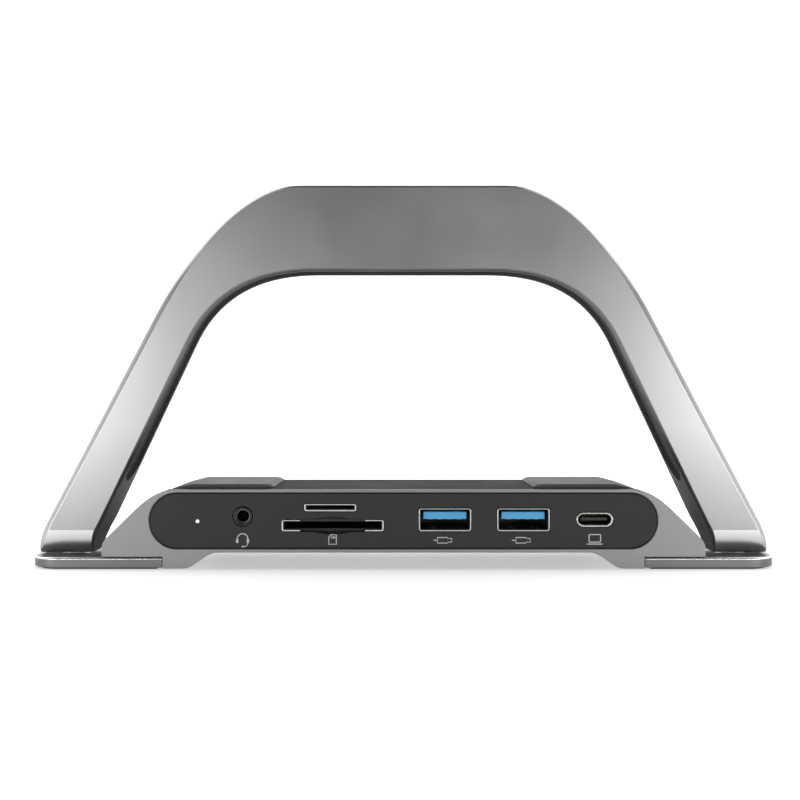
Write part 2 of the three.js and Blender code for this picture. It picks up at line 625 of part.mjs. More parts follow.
function audioJack() {
  const barrel = rod('Y', JACK.radius, PANEL_RECESS, BOARD_FRONT, JACK.x, JACK.z);
  const body = block(JACK.x - JACK.halfWidth, JACK.x + JACK.halfWidth,
    BOARD_FRONT - 0.4, JACK.depth, ON_BOARD, JACK.top);
  const bore = rod('Y', JACK.bore, -PAST, JACK.depth - 1, JACK.x, JACK.z);
  piece('audio_jack', cut(join(barrel, body), bore), BLACK);
}

function lightPipe() {
  const pipe = rod('Y', LED.radius, PANEL_RECESS, LED.bend + LED.radius, LED.x, LED.z, 12);
  const foot = rod('Z', LED.radius, ON_BOARD, LED.z, LED.x, LED.bend, 12);
  piece('led_light_pipe', join(pipe, foot), WHITE);
}

function networkPort() {
  const { x, z, width, height, depth } = NETWORK;
  const front = REAR_PANEL_BACK - depth;
  const floor = z - height / 2 + 1.6;
  const ceiling = floor + NETWORK_MOUTH.height;
  const hollow = (wide, bottom, top) => block(x - wide / 2, x + wide / 2,
    REAR_PANEL_BACK - NETWORK_MOUTH.depth, REAR_PANEL_BACK + PAST, bottom, top);
  const body = block(x - width / 2, x + width / 2, front, REAR_PANEL_BACK,
    z - height / 2, z + height / 2);
  const mouth = hollow(NETWORK_MOUTH.width, floor, ceiling);
  const key = hollow(NETWORK_MOUTH.key, ceiling - GAP, ceiling + NETWORK_MOUTH.keyHeight);
  piece('network_port', cut(body, mouth, key), STEEL);
}

// ---------- port panels ----------

function frontPanel() {
  const plate = extrude(stadium(CAVITY_HALF_WIDTH - GAP, CAVITY_HEIGHT - 2 * GAP), 'Y',
    PANEL_RECESS, PANEL_RECESS + PANEL_THICKNESS);
  const through = (outline) => extrude(outline, 'Y', -PAST, PANEL_THICKNESS + PAST);
  const holes = [
    ...USB_A_X.map((x) => through(usbAOutline(x, GAP))),
    through(usbCOutline(USB_C_HOST_X, GAP)),
    through(cardOutline(SD, GAP)),
    through(cardOutline(MICRO_SD, GAP)),
    rod('Y', JACK.radius + GAP, -PAST, PANEL_THICKNESS + PAST, JACK.x, JACK.z),
    rod('Y', LED.radius + GAP, -PAST, PANEL_THICKNESS + PAST, LED.x, LED.z, 12),
    thumbScoop(),
  ];
  piece('front_panel', cut(plate, ...holes), CHARCOAL);
}

function rearPanel() {
  const plate = overlap(
    extrude(stadium(CASE_HALF_WIDTH, CASE_HEIGHT), 'Y',
      REAR_PANEL_FRONT - REAR_PANEL_CHAMFER, REAR_PANEL_BACK, REAR_PANEL_CHAMFER),
    block(-CASE_HALF_WIDTH, CASE_HALF_WIDTH, REAR_PANEL_FRONT, REAR_PANEL_BACK, 0, CASE_TOP),
  );
  const through = (outline) => extrude(outline, 'Y', REAR_PANEL_FRONT - PAST, REAR_PANEL_BACK + PAST);
  const network = roundedRectangle(NETWORK.x, NETWORK.z,
    NETWORK.width + 2 * GAP, NETWORK.height + 2 * GAP, GAP);
  const outlines = [videoOutline(GAP), usbCOutline(USB_C_POWER_X, GAP), network];
  const holes = outlines.map(through);
  piece('rear_panel', cut(plate, ...holes), CHARCOAL);
}

// ---------- circuit boards ----------

function circuitBoard() {
  const bottom = BOARD_TOP - BOARD_THICKNESS;
  const plate = block(-BOARD_HALF_WIDTH, BOARD_HALF_WIDTH, BOARD_FRONT, BOARD_REAR, bottom, BOARD_TOP);
  const notch = block(NETWORK.x - NETWORK.width / 2 - GAP, NETWORK.x + NETWORK.width / 2 + GAP,
    REAR_PANEL_BACK - NETWORK.depth - GAP, REAR_PANEL_BACK, 0, CASE_TOP);
  const holes = caseScrewPlaces.map(([x, y]) => rod('Z', CASE_SCREW.radius + GAP, 0, CASE_TOP, x, y));
  piece('circuit_board', cut(plate, notch, ...holes), BOARD_GREEN);
}

function boardBlock(name, x, y, width, depth, bottom, top, look) {
  piece(name, block(x - width / 2, x + width / 2, y - depth / 2, y + depth / 2, bottom, top), look);
}

function boardParts() {
  for (const [name, chip] of [['hub_controller_chip', HUB_CHIP], ['video_controller_chip', VIDEO_CHIP]]) {
    boardBlock(name, chip.x, chip.y, chip.size, chip.size, ON_BOARD, ON_BOARD + chip.height, BLACK);
  }
  const middle = (SPREADER.from + SPREADER.to) / 2;
  const depth = SPREADER.rear - SPREADER.front;
  const y = (SPREADER.front + SPREADER.rear) / 2;
  boardBlock('thermal_pad', middle, y, 22, depth - 2, THERMAL_PAD.bottom, THERMAL_PAD.top, GREY_RUBBER);
  boardBlock('heat_spreader', middle, y, SPREADER.to - SPREADER.from, depth,
    SPREADER.bottom, SPREADER.top, SATIN);
  const cardY = (CARD_BOARD.from + CARD_BOARD.to) / 2;
  boardBlock('card_reader_board', MICRO_SD.x, cardY, 20, CARD_BOARD.to - CARD_BOARD.from,
    CARD_BOARD.bottom, CARD_BOARD.top, BOARD_GREEN);
}

// ---------- assembly ----------

frontFrame();
frontPanel();
topCover();
bottomCover();
rearPanel();
circuitBoard();
boardParts();
USB_A_X.forEach((x, index) => usbAPort(`usb_a_${index + 1}`, x));
usbCPort('usb_c_host', USB_C_HOST_X, PANEL_RECESS, 1);
usbCPort('usb_c_power', USB_C_POWER_X, REAR_PANEL_BACK, -1);
videoPort();
networkPort();
cardSocket('sd_card_socket', SD, thumbScoop());
cardSocket('microsd_card_socket', MICRO_SD);
audioJack();
lightPipe();
caseScrewPlaces.forEach(([x, y], index) => screwUp(`case_screw_${index + 1}`, CASE_SCREW, x, y));

for (const [name, side] of [['left', -1], ['right', 1]]) {
  topPad(name, side);
  basePlate(name, side);
  footPad(name, side);
  hingeBracket(name, side);
  hingePin(name, side);
  frictionWashers(name, side);
  PLATE_SCREW_Y.forEach((y, index) => (
    screwUp(`plate_screw_${name}_${index + 1}`, PLATE_SCREW, side * PLATE_SCREW.x, y)));
  HINGE_SCREW_Y.forEach((y, index) => hingeScrew(`hinge_screw_${name}_${index + 1}`, side, y));
}
archPieces();

dock.position.y = -PLATE_DEPTH / 2;

export default dock;
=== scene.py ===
"""The looks of a laptop docking station with a folding arch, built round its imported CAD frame.

Pieces are drawn in millimetres, with the port panel at y = 0 and the desk at z = 0, as the CAD
part is. place() turns that into metres in the row frame.
"""

from math import asin, cos, degrees, hypot, pi, radians, sin, sqrt

import bpy
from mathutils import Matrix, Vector


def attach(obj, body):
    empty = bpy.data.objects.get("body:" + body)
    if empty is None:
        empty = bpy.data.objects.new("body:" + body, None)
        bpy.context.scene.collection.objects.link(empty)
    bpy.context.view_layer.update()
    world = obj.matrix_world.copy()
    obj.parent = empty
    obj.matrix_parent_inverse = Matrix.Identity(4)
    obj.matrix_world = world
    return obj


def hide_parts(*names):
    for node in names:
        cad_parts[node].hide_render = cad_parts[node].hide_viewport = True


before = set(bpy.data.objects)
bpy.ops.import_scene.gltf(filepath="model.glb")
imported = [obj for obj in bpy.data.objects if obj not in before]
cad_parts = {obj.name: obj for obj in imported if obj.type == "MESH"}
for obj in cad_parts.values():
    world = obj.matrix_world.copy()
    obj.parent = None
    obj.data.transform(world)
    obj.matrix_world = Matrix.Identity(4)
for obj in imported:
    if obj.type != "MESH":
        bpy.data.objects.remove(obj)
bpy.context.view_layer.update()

# ---------- dimensions, in millimetres ----------

MM = 0.001
ROW_SHIFT = 31.0            # the drawn frame lies this far behind the row frame
EPS = 0.01
ROUNDING = 4                # steps in a rounded end edge
SIDES = (("left", -1), ("right", 1))

CASE_HALF = 65.0
CASE_LOW = 4.35
CASE_HIGH = 20.3
CASE_WALL = 0.95
SEAM = 0.08                 # between parts that meet on a visible face
CASE_MID = (CASE_LOW + CASE_HIGH) / 2
CASE_FRONT = 1.5
CASE_REAR = 35.1
CAVITY_HALF = CASE_HALF - CASE_WALL
CAVITY_HEIGHT = CASE_HIGH - CASE_LOW - 2 * CASE_WALL
PANEL_FRONT = 0.3
PANEL_BACK = 1.9
REAR_FRONT = 35.4
REAR_BACK = 38.0
PAD_INNER, PAD_OUTER, PAD_FRONT, PAD_REAR, PAD_TOP = 33.0, 57.5, 3.0, 33.4, 21.35

LIP_DEPTH = 1.2
BRACKET_DEPTH = 14.5
BRACKET_HALF = 76.0
FRAME_TOP = 20.2
FRAME_LOW = 4.3
FRAME_FOOT = 0.3
FOOT_START = 46.5

PLATE_OUTER = 94.5
PLATE_INNER = 60.8
PLATE_DEPTH = 62.0
PLATE_LOW = 0.45
PLATE_HIGH = 3.1
PLATE_CORNER = 7.0
PLATE_HIGHLIGHT_DEEP = 0.52       # the painted highlight round the plate's top reaches this far down
SOLE_RIM = 1.4
SOLE_HIGH = 0.95
PLATE_SCREWS = [(70.2, 4.2), (70.2, 12.0)]

ARCH_FRONT = 5.5
ARCH_HIGH = 97.8
ARCH_LOW = 3.5
OPENING_HIGH = 75.7
OUTER_TURN = 26.78           # half the straight run along the top, outside and inside
INNER_TURN = 21.4
THICK_FOOT = 16.8
THICK_TOP = 9.9
OUTER_LEAN = 0.5225
INNER_LEAN = 0.4865
OUTER_START = (64.27, 63.21)
INNER_START = (54.84, 57.66)
FOOT_BEND = 12.0
FOOT_OUTER = 93.4
FOOT_INNER = 79.9
FOOT_ROUND = 5.9
FOOT_NOSE = 2.6
KNUCKLE = ARCH_LOW + FOOT_ROUND
LINER_LOW = 21.5
GROOVE_DEPTH = 1.9
LINER_SINK = 0.95
FRONT_RIM = 1.1
REAR_RIM = 1.9

HINGE_X, HINGE_Y, HINGE_Z = 85.2, 14.0, 12.0
LUG_HALF = 1.5
LUG_RADIUS = 5.0
LUG_STEM = 3.5
LUG_FRONT = 2.2
PIN_RADIUS = 2.0
PIN_FROM, PIN_TO = 80.2, 88.8
CAP_RADIUS = 2.4
CAP_FROM, CAP_TO = 74, 79.9
CAP_CUT = 80.1
WASHER_RADIUS = 4.2
WASHER_THICK = 0.6
SLOT_HALF = 2.7
TAB_HALF, TAB_END, TAB_HIGH, TAB_LOW = 4.0, 34.0, 2.95, 1.95
HINGE_SCREWS_Y = (23.5, 30.0)

JACK = (-40.5, 13.4)
LED = (-51.9, 12.15)
MICRO_SD = (-18.45, 15.63, 13.1, 1.9)
SD = (-17.85, 11.1, 25.7, 2.9)
USB_A_X = (10.45, 30.2)
USB_A = (12.55, 13.2, 5.8)
USB_C = (12.58, 9.2, 3.6)
USB_C_HOST_X = 48.15
USB_C_POWER_X = 46.0
VIDEO = (16.0, 12.4, 15.0, 5.6)
NETWORK = (-47.5, 12.3, 15.8, 12.0)
CASE_SCREWS = [(side * 58.4, y) for side in (1, -1) for y in (7.0, 31.0)]


# ---------- mesh tools ----------

AXES = {
    "X": lambda a, b, depth: (depth, a, b),
    "Y": lambda a, b, depth: (a, depth, b),
    "Z": lambda a, b, depth: (a, b, depth),
}


def place(point):
    return (point[0] * MM, (point[1] - ROW_SHIFT) * MM, point[2] * MM)


def new_object(name, data):
    obj = bpy.data.objects.new(name, data)
    bpy.context.scene.collection.objects.link(obj)
    return obj


def make(name, points, faces):
    """An object from points in the drawn frame, with its faces turned outward."""
    mesh = bpy.data.meshes.new(name)
    mesh.from_pydata([place(p) for p in points], [], faces)
    volume = 0.0
    for polygon in mesh.polygons:
        corners = [mesh.vertices[i].co for i in polygon.vertices]
        for second, third in zip(corners[1:], corners[2:]):
            volume += corners[0].dot(second.cross(third))
    if volume < 0:
        mesh.flip_normals()
    return new_object(name, mesh)


def loft(name, rings):
    """A closed solid through rings of the same number of points, with both ends capped."""
    size = len(rings[0])
    points = [p for ring in rings for p in ring]
    faces = [tuple(reversed(range(size)))]
    for row in range(len(rings) - 1):
        a, b = row * size, (row + 1) * size
        for i in range(size):
            j = (i + 1) % size
            faces.append((a + i, a + j, b + j, b + i))
    last = (len(rings) - 1) * size
    faces.append(tuple(range(last, last + size)))
    return make(name, points, faces)


def area_of(outline):
    total = 0.0
    for (x0, y0), (x1, y1) in zip(outline, outline[1:] + outline[:1]):
        total += x0 * y1 - x1 * y0
    return total / 2


def inset(outline, distance):
    """The outline moved inward, each corner along the line that halves it."""
    if abs(distance) < 1e-9:
        return list(outline)
    turn = 1 if area_of(outline) > 0 else -1
    moved = []
    for index, here in enumerate(outline):
        before = Vector(outline[index - 1])
        after = Vector(outline[(index + 1) % len(outline)])
        here = Vector(here)
        first = (here - before).normalized()
        second = (after - here).normalized()
        normal_a = Vector((-first.y, first.x)) * turn
        normal_b = Vector((-second.y, second.x)) * turn
        halfway = normal_a + normal_b
        if halfway.length < 1e-6:
            halfway = normal_a
        halfway.normalize()
        reach = distance / max(halfway.dot(normal_a), 0.35)
        moved.append(tuple(here + halfway * reach))
    return moved


def clean(outline):
    """The outline without doubled points."""
    return [p for p, q in zip(outline, outline[1:] + outline[:1])
            if hypot(p[0] - q[0], p[1] - q[1]) > EPS]


def prism(name, outline, axis, start, end, round_start=0.0, round_end=0.0):
    """A prism along an axis, its end edges rounded by a quarter circle.

    A negative round flares the end outward, which makes a cutter that leaves a broken edge.
    """
    outline = clean(outline)
    to_point = AXES[axis]
    rings = []

    def add(depth, distance):
        rings.append([to_point(a, b, depth) for a, b in inset(outline, distance)])

    if round_start:
        for step in range(ROUNDING):
            angle = pi / 2 * step / ROUNDING
            size = abs(round_start)
            sign = 1 if round_start > 0 else -1
            add(start + size * (1 - cos(angle)), sign * size * (1 - sin(angle)))
        add(start + size, 0)
    else:
        add(start, 0)
    if round_end:
        size = abs(round_end)
        sign = 1 if round_end > 0 else -1
        add(end - size, 0)
        for step in reversed(range(ROUNDING)):
            angle = pi / 2 * step / ROUNDING
            add(end - size * (1 - cos(angle)), sign * size * (1 - sin(angle)))
    else:
        add(end, 0)
    return loft(name, rings)


def mouth_cutter(name, outline, end, mouth, flare):
    """A cutter along Y that widens by flare where it passes the face at y = mouth."""
    outline = clean(outline)
    sign = 1 if end > mouth else -1
    rings = [
        [(a, mouth - sign * 2, b) for a, b in inset(outline, -flare)],
        [(a, mouth - sign * EPS, b) for a, b in inset(outline, -flare)],
        [(a, mouth + sign * flare, b) for a, b in outline],
        [(a, end, b) for a, b in outline],
    ]
    return loft(name, rings)


def settle(obj):
    """Applies the object's modifiers."""
    graph = bpy.context.evaluated_depsgraph_get()
    mesh = bpy.data.meshes.new_from_object(obj.evaluated_get(graph))
    old = obj.data
    obj.modifiers.clear()
    obj.data = mesh
    bpy.data.meshes.remove(old)


def combine(obj, tools, operation="DIFFERENCE", keep=False):
    """Cuts, joins or intersects obj with each tool in turn."""
    for tool in tools:
        modifier = obj.modifiers.new(operation, "BOOLEAN")
        modifier.operation = operation
        modifier.solver = "EXACT"
        modifier.object = tool
    bpy.context.view_layer.update()
    settle(obj)
    if not keep:
        for tool in tools:
            bpy.data.objects.remove(tool)
    return obj


def join(name, objects):
    """One object holding several meshes as they are."""
    points, faces = [], []
    for obj in objects:
        start = len(points)
        points.extend(tuple(v.co) for v in obj.data.vertices)
        faces.extend(tuple(start + i for i in p.vertices) for p in obj.data.polygons)
    mesh = bpy.data.meshes.new(name)
    mesh.from_pydata(points, [], faces)
    for obj in objects:
        bpy.data.objects.remove(obj)
    return new_object(name, mesh)


def mirrored(name, obj):
    """The same piece on the other side of the middle plane."""
    mesh = obj.data.copy()
    for vertex in mesh.vertices:
        vertex.co.x = -vertex.co.x
    mesh.flip_normals()
    return new_object(name, mesh)


def dress(obj, look, slot, *nodes, body="hub", smooth=32):
    """Shading, material or materials, body and the CAD nodes that the piece stands for."""
    mesh = obj.data
    for polygon in mesh.polygons:
        polygon.use_smooth = True
    mesh.set_sharp_from_angle(angle=radians(smooth))
    weighted = obj.modifiers.new("normals", "WEIGHTED_NORMAL")
    weighted.keep_sharp = True
    bpy.context.view_layer.update()
    settle(obj)
    parts = [polygon.material_index for polygon in obj.data.polygons]
    obj.data.materials.clear()
    for each in look if isinstance(look, list) else [look]:
        obj.data.materials.append(each)
    if isinstance(look, list):
        obj.data.polygons.foreach_set("material_index", parts)
    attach(obj, body)
    if nodes:
        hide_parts(*nodes)
    return obj


# ---------- outlines ----------

def arc(cx, cy, radius, start, end, steps, radius_y=None):
    radius_y = radius if radius_y is None else radius_y
    angles = [radians(start + (end - start) * i / steps) for i in range(steps + 1)]
    return [(cx + radius * cos(a), cy + radius_y * sin(a)) for a in angles]


def rounded(cx, cy, width, height, radius, steps=8):
    r = max(min(radius, height / 2 - 0.001, width / 2 - 0.001), 0.03)
    x, y = width / 2 - r, height / 2 - r
    return (arc(cx + x, cy - y, r, -90, 0, steps) + arc(cx + x, cy + y, r, 0, 90, steps)
            + arc(cx - x, cy + y, r, 90, 180, steps) + arc(cx - x, cy - y, r, 180, 270, steps))


def circle(cx, cy, radius, steps=40):
    return arc(cx, cy, radius, 0, 360 * (steps - 1) / steps, steps - 1)


def box_outline(x0, x1, y0, y1):
    return [(x0, y0), (x1, y0), (x1, y1), (x0, y1)]


def bezier(p0, p1, p2, p3, steps):
    points = []
    for i in range(steps + 1):
        t = i / steps
        s = 1 - t
        points.append(tuple(
            s * s * s * a + 3 * s * s * t * b + 3 * s * t * t * c + t * t * t * d
            for a, b, c, d in zip(p0, p1, p2, p3)))
    return points


def stadium(half, height, steps=20):
    return rounded(0, CASE_MID, 2 * half, height, height / 2, steps)


def both_sides(half):
    """A right-hand run of points and its mirror image, as one outline."""
    return clean(half + [(-x, z) for x, z in reversed(half)])


# ---------- materials ----------

def put(node, values):
    for socket, value in values.items():
        node.inputs[socket].default_value = value


def node_tree(name):
    material = bpy.data.materials.new(name)
    material.use_nodes = True
    tree = material.node_tree
    shader = tree.nodes["Principled BSDF"]
    coordinates = tree.nodes.new("ShaderNodeTexCoord")
    return material, tree, shader, coordinates.outputs["Object"]


def noise(tree, source, scale, detail=3.0, stretch=None):
    node = tree.nodes.new("ShaderNodeTexNoise")
    put(node, {"Scale": scale, "Detail": detail})
    if stretch:
        mapping = tree.nodes.new("ShaderNodeMapping")
        mapping.inputs["Scale"].default_value = stretch
        tree.links.new(source, mapping.inputs["Vector"])
        source = mapping.outputs["Vector"]
    tree.links.new(source, node.inputs["Vector"])
    return node.outputs["Fac"]


def ramp(tree, source, low, high, start=0.3, end=0.7):
    node = tree.nodes.new("ShaderNodeMapRange")
    put(node, {"From Min": start, "From Max": end, "To Min": low, "To Max": high})
    tree.links.new(source, node.inputs["Value"])
    return node.outputs["Result"]


def blend_colors(tree, source, first, second):
    node = tree.nodes.new("ShaderNodeMix")
    node.data_type = "RGBA"
    node.inputs[6].default_value = (*first, 1)
    node.inputs[7].default_value = (*second, 1)
    tree.links.new(source, node.inputs[0])
    return node.outputs[2]


def bump(tree, shader, height, strength, distance):
    node = tree.nodes.new("ShaderNodeBump")
    put(node, {"Strength": strength, "Distance": distance})
    tree.links.new(height, node.inputs["Height"])
    tree.links.new(node.outputs["Normal"], shader.inputs["Normal"])


# Painted shade: the colour is scaled from the given share at 10 mm height up to full at 36 mm, so it
# is darker towards the foot.
def deepened(tree, source, color, share):
    split = tree.nodes.new("ShaderNodeSeparateXYZ")
    tree.links.new(source, split.inputs["Vector"])
    level = ramp(tree, split.outputs["Z"], share, 1.0, 0.010, 0.036)
    scale = tree.nodes.new("ShaderNodeVectorMath")
    scale.operation = "SCALE"
    tree.links.new(color, scale.inputs[0])
    tree.links.new(level, scale.inputs["Scale"])
    return scale.outputs["Vector"]


def surface(name, dark, light, roughness, metallic=0.0, patches=60.0, grain=2500.0,
            relief=0.15, distance=0.00003, stretch=None, specular=0.5, coat=0.0, deepen=1.0):
    """A material with slow patches of tone and sheen and a fine grain in its relief.

    A painted-shade share below 1 darkens the colour towards the foot to that share, painting in
    shade.
    """
    material, tree, shader, source = node_tree(name)
    slow = noise(tree, source, patches, 4.0)
    fine = noise(tree, source, grain, 2.0, stretch)
    both = tree.nodes.new("ShaderNodeMath")
    both.operation = "ADD"
    tree.links.new(ramp(tree, slow, 0.0, 0.6), both.inputs[0])
    tree.links.new(ramp(tree, fine, 0.0, 0.4), both.inputs[1])
    color = blend_colors(tree, both.outputs[0], dark, light)
    if deepen < 1.0:
        color = deepened(tree, source, color, deepen)
    tree.links.new(color, shader.inputs["Base Color"])
    tree.links.new(ramp(tree, slow, *roughness), shader.inputs["Roughness"])
    put(shader, {"Metallic": metallic, "Specular IOR Level": specular, "Coat Weight": coat})
    bump(tree, shader, fine, relief, distance)
    return material


def tone(value, tint=(1, 1, 1)):
    return tuple(value * t for t in tint)


def satin(name, dark, light, roughness, **more):
    """Blasted and anodised aluminium."""
    return surface(name, dark, light, roughness, 1.0, patches=35.0, grain=3200.0, relief=0.10,
                   distance=0.00002, **more)


# Painted shade: the arch's colour darkens towards the foot, down to 0.68 of its tone.
satin_arch = satin("satin_aluminium_arch", tone(0.42), tone(0.46, (1, 1, 1.01)), (0.30, 0.35),
                   deepen=0.68)
# Painted highlight: a lighter copy of the arch's aluminium for the front of the knuckle near the
# foot.
knuckle_highlight = satin("satin_aluminium_knuckle_highlight", tone(0.56), tone(0.60, (1, 1, 1.01)),
                      (0.30, 0.35))
# A darker copy of the aluminium for the base plates; part of its darkness paints in the shadow where
# they meet the desk.
satin_dark = satin("satin_aluminium_plate", tone(0.14), tone(0.17), (0.36, 0.42))
satin_frame = satin("satin_aluminium_frame", tone(0.22), tone(0.26), (0.36, 0.42))
# Painted highlight: a much lighter copy of the aluminium for the rounding along the plates' top edge.
plate_highlight = surface("satin_aluminium_plate_edge", tone(0.84), tone(0.90), (0.24, 0.30), 1.0,
                     patches=120.0, grain=2600.0, relief=0.05, distance=0.00001)
# Painted shade: a dark copy of the aluminium for the inner front edge of the opening.
shaded_inner_edge = surface("satin_aluminium_inner_edge", tone(0.20), tone(0.24), (0.28, 0.34), 1.0,
                     patches=80.0, grain=2600.0, relief=0.08, distance=0.00001)
cut_edge = surface("satin_aluminium_edge", tone(0.38), tone(0.44), (0.28, 0.34), 1.0,
                   patches=120.0, grain=2600.0, relief=0.05, distance=0.00001)
# Painted shade: a near-black copy of the aluminium for the opening's wall, the groove's sides and the
# hinge caps, where shade falls.
shaded_wall = surface("satin_aluminium_shaded_wall", tone(0.040), tone(0.052), (0.50, 0.58),
                     patches=60.0, grain=3200.0, relief=0.12, distance=0.00002, specular=0.15)
graphite = surface("graphite_casing", tone(0.016), tone(0.022), (0.66, 0.78),
                   patches=50.0, grain=2600.0, relief=0.22, specular=0.07)
charcoal = surface("charcoal_panel", tone(0.013), tone(0.017), (0.46, 0.54),
                   patches=40.0, grain=3500.0, relief=0.12, specular=0.35)
black_rubber = surface("black_rubber", tone(0.022), tone(0.034), (0.72, 0.85),
                       patches=90.0, grain=2200.0, relief=0.30, specular=0.3)
grey_rubber = surface("grey_rubber", tone(0.055), tone(0.075), (0.55, 0.66),
                      patches=80.0, grain=2400.0, relief=0.30, specular=0.35)
black_plastic = surface("black_plastic", tone(0.008), tone(0.014), (0.34, 0.44),
                        patches=120.0, grain=3000.0, relief=0.12)
blue_plastic = surface("blue_plastic", (0.05, 0.30, 0.56), (0.08, 0.38, 0.66), (0.34, 0.42),
                       patches=200.0, grain=3000.0, relief=0.10)
print_ink = surface("print_ink", tone(0.42), tone(0.50), (0.5, 0.6),
                    patches=300.0, grain=4000.0, relief=0.2)
nickel = surface("socket_steel", tone(0.52), tone(0.60, (1, 0.99, 0.97)), (0.20, 0.30), 1.0,
                 patches=250.0, grain=2000.0, relief=0.12, stretch=(1, 0.15, 1))
steel = surface("fitting_steel", tone(0.42), tone(0.52, (1, 0.99, 0.96)), (0.30, 0.42), 1.0,
                patches=200.0, grain=2400.0, relief=0.18, stretch=(1, 1, 0.2))
gold = surface("contact_gold", (0.78, 0.52, 0.20), (0.86, 0.62, 0.28), (0.22, 0.32), 1.0,
               patches=400.0, grain=3000.0, relief=0.1)
chip_epoxy = surface("chip_epoxy", tone(0.010), tone(0.020), (0.55, 0.65),
                     patches=300.0, grain=3500.0, relief=0.35)


def board_material():
    """Solder mask with the copper tracks showing through as slightly lighter lines."""
    material, tree, shader, source = node_tree("board_green")
    bricks = tree.nodes.new("ShaderNodeTexBrick")
    put(bricks, {"Scale": 320.0, "Mortar Size": 0.06, "Color1": (0, 0, 0, 1),
                 "Color2": (0.15, 0.15, 0.15, 1), "Mortar": (1, 1, 1, 1)})
    tree.links.new(source, bricks.inputs["Vector"])
    tracks = blend_colors(tree, bricks.outputs["Color"], (0.010, 0.075, 0.035), (0.03, 0.20, 0.08))
    tree.links.new(tracks, shader.inputs["Base Color"])
    tree.links.new(ramp(tree, noise(tree, source, 150.0), 0.25, 0.38), shader.inputs["Roughness"])
    bump(tree, shader, bricks.outputs["Color"], 0.2, 0.00003)
    return material


def glow_material():
    """The lit end of the light pipe."""
    material, tree, shader, source = node_tree("status_light")
    shade = noise(tree, source, 900.0)
    tree.links.new(blend_colors(tree, shade, (0.82, 0.88, 1.0), (0.95, 0.97, 1.0)),
                   shader.inputs["Base Color"])
    put(shader, {"Emission Color": (0.86, 0.92, 1.0, 1), "Emission Strength": 0.9,
                 "Roughness": 0.35})
    bump(tree, shader, shade, 0.1, 0.00002)
    return material


board = board_material()
glow = glow_material()


# ---------- arch ----------

def rear_at(z):
    share = (z - HINGE_Z) / (ARCH_HIGH - HINGE_Z)
    return ARCH_FRONT + THICK_FOOT + (THICK_TOP - THICK_FOOT) * share


def front_y(z):
    if z >= KNUCKLE:
        return ARCH_FRONT
    drop = min(KNUCKLE - z, FOOT_ROUND)
    return ARCH_FRONT + FOOT_NOSE * (1 - sqrt(max(1 - (drop / FOOT_ROUND) ** 2, 0)))


def rear_y(z):
    if z >= HINGE_Z:
        return rear_at(z)
    drop = min((HINGE_Z - z) / (HINGE_Z - ARCH_LOW), 1)
    return HINGE_Y + (rear_at(HINGE_Z) - HINGE_Y) * sqrt(1 - drop * drop)


OUTER_BEND = OUTER_START[0] + (OUTER_START[1] - FOOT_BEND) * OUTER_LEAN
INNER_BEND = INNER_START[0] + (INNER_START[1] - FOOT_BEND) * INNER_LEAN


def x_at(curve, z):
    """Where a falling curve crosses a height."""
    for (x0, z0), (x1, z1) in zip(curve, curve[1:]):
        if z0 >= z >= z1:
            return x0 + (x1 - x0) * (z0 - z) / max(z0 - z1, 1e-9)
    return curve[-1][0]


def arch_stations():
    """Pairs of points on the outer and the inner edge, from the middle to the right foot."""
    pairs = []
    for i in range(6):
        share = i / 6
        pairs.append(((OUTER_TURN * share, ARCH_HIGH), (INNER_TURN * share, OPENING_HIGH)))
    outer = bezier((OUTER_TURN, ARCH_HIGH), (40.26, ARCH_HIGH), (54.63, 81.66),
                   OUTER_START, 32)
    inner = bezier((INNER_TURN, OPENING_HIGH), (30.3, OPENING_HIGH), (46.4, 74.9),
                   INNER_START, 32)
    pairs.extend(zip(outer, inner))
    for i in range(1, 25):
        share = i / 24
        pairs.append((
            (OUTER_START[0] + (OUTER_BEND - OUTER_START[0]) * share,
             OUTER_START[1] + (FOOT_BEND - OUTER_START[1]) * share),
            (INNER_START[0] + (INNER_BEND - INNER_START[0]) * share,
             INNER_START[1] + (FOOT_BEND - INNER_START[1]) * share)))
    outer = bezier((OUTER_BEND, FOOT_BEND), (OUTER_BEND + 1.6 * OUTER_LEAN, FOOT_BEND - 1.6),
                   (FOOT_OUTER, 7.2), (FOOT_OUTER, ARCH_LOW), 60)
    inner = bezier((INNER_BEND, FOOT_BEND), (INNER_BEND + 2 * INNER_LEAN, FOOT_BEND - 2),
                   (FOOT_INNER, 7.4), (FOOT_INNER, ARCH_LOW), 60)
    heights = [11.2, 10.3, KNUCKLE]
    heights += [KNUCKLE - FOOT_ROUND * sin(radians(a)) for a in range(8, 89, 8)]
    heights.append(ARCH_LOW)
    for z in heights:
        pairs.append(((x_at(outer, z), z), (x_at(inner, z), z)))
    return pairs


def leg_share(z):
    """0 on the top bar and 1 on the legs, with a smooth change between."""
    share = min(max((90 - z) / 25, 0), 1)
    return share * share * (3 - 2 * share)


def across(pair, from_outer):
    """The point that lies from_outer millimetres in from the outer edge."""
    (ox, oz), (ix, iz) = pair
    length = hypot(ix - ox, iz - oz)
    if from_outer < 0:
        from_outer += length
    share = from_outer / length
    return (ox + (ix - ox) * share, oz + (iz - oz) * share)


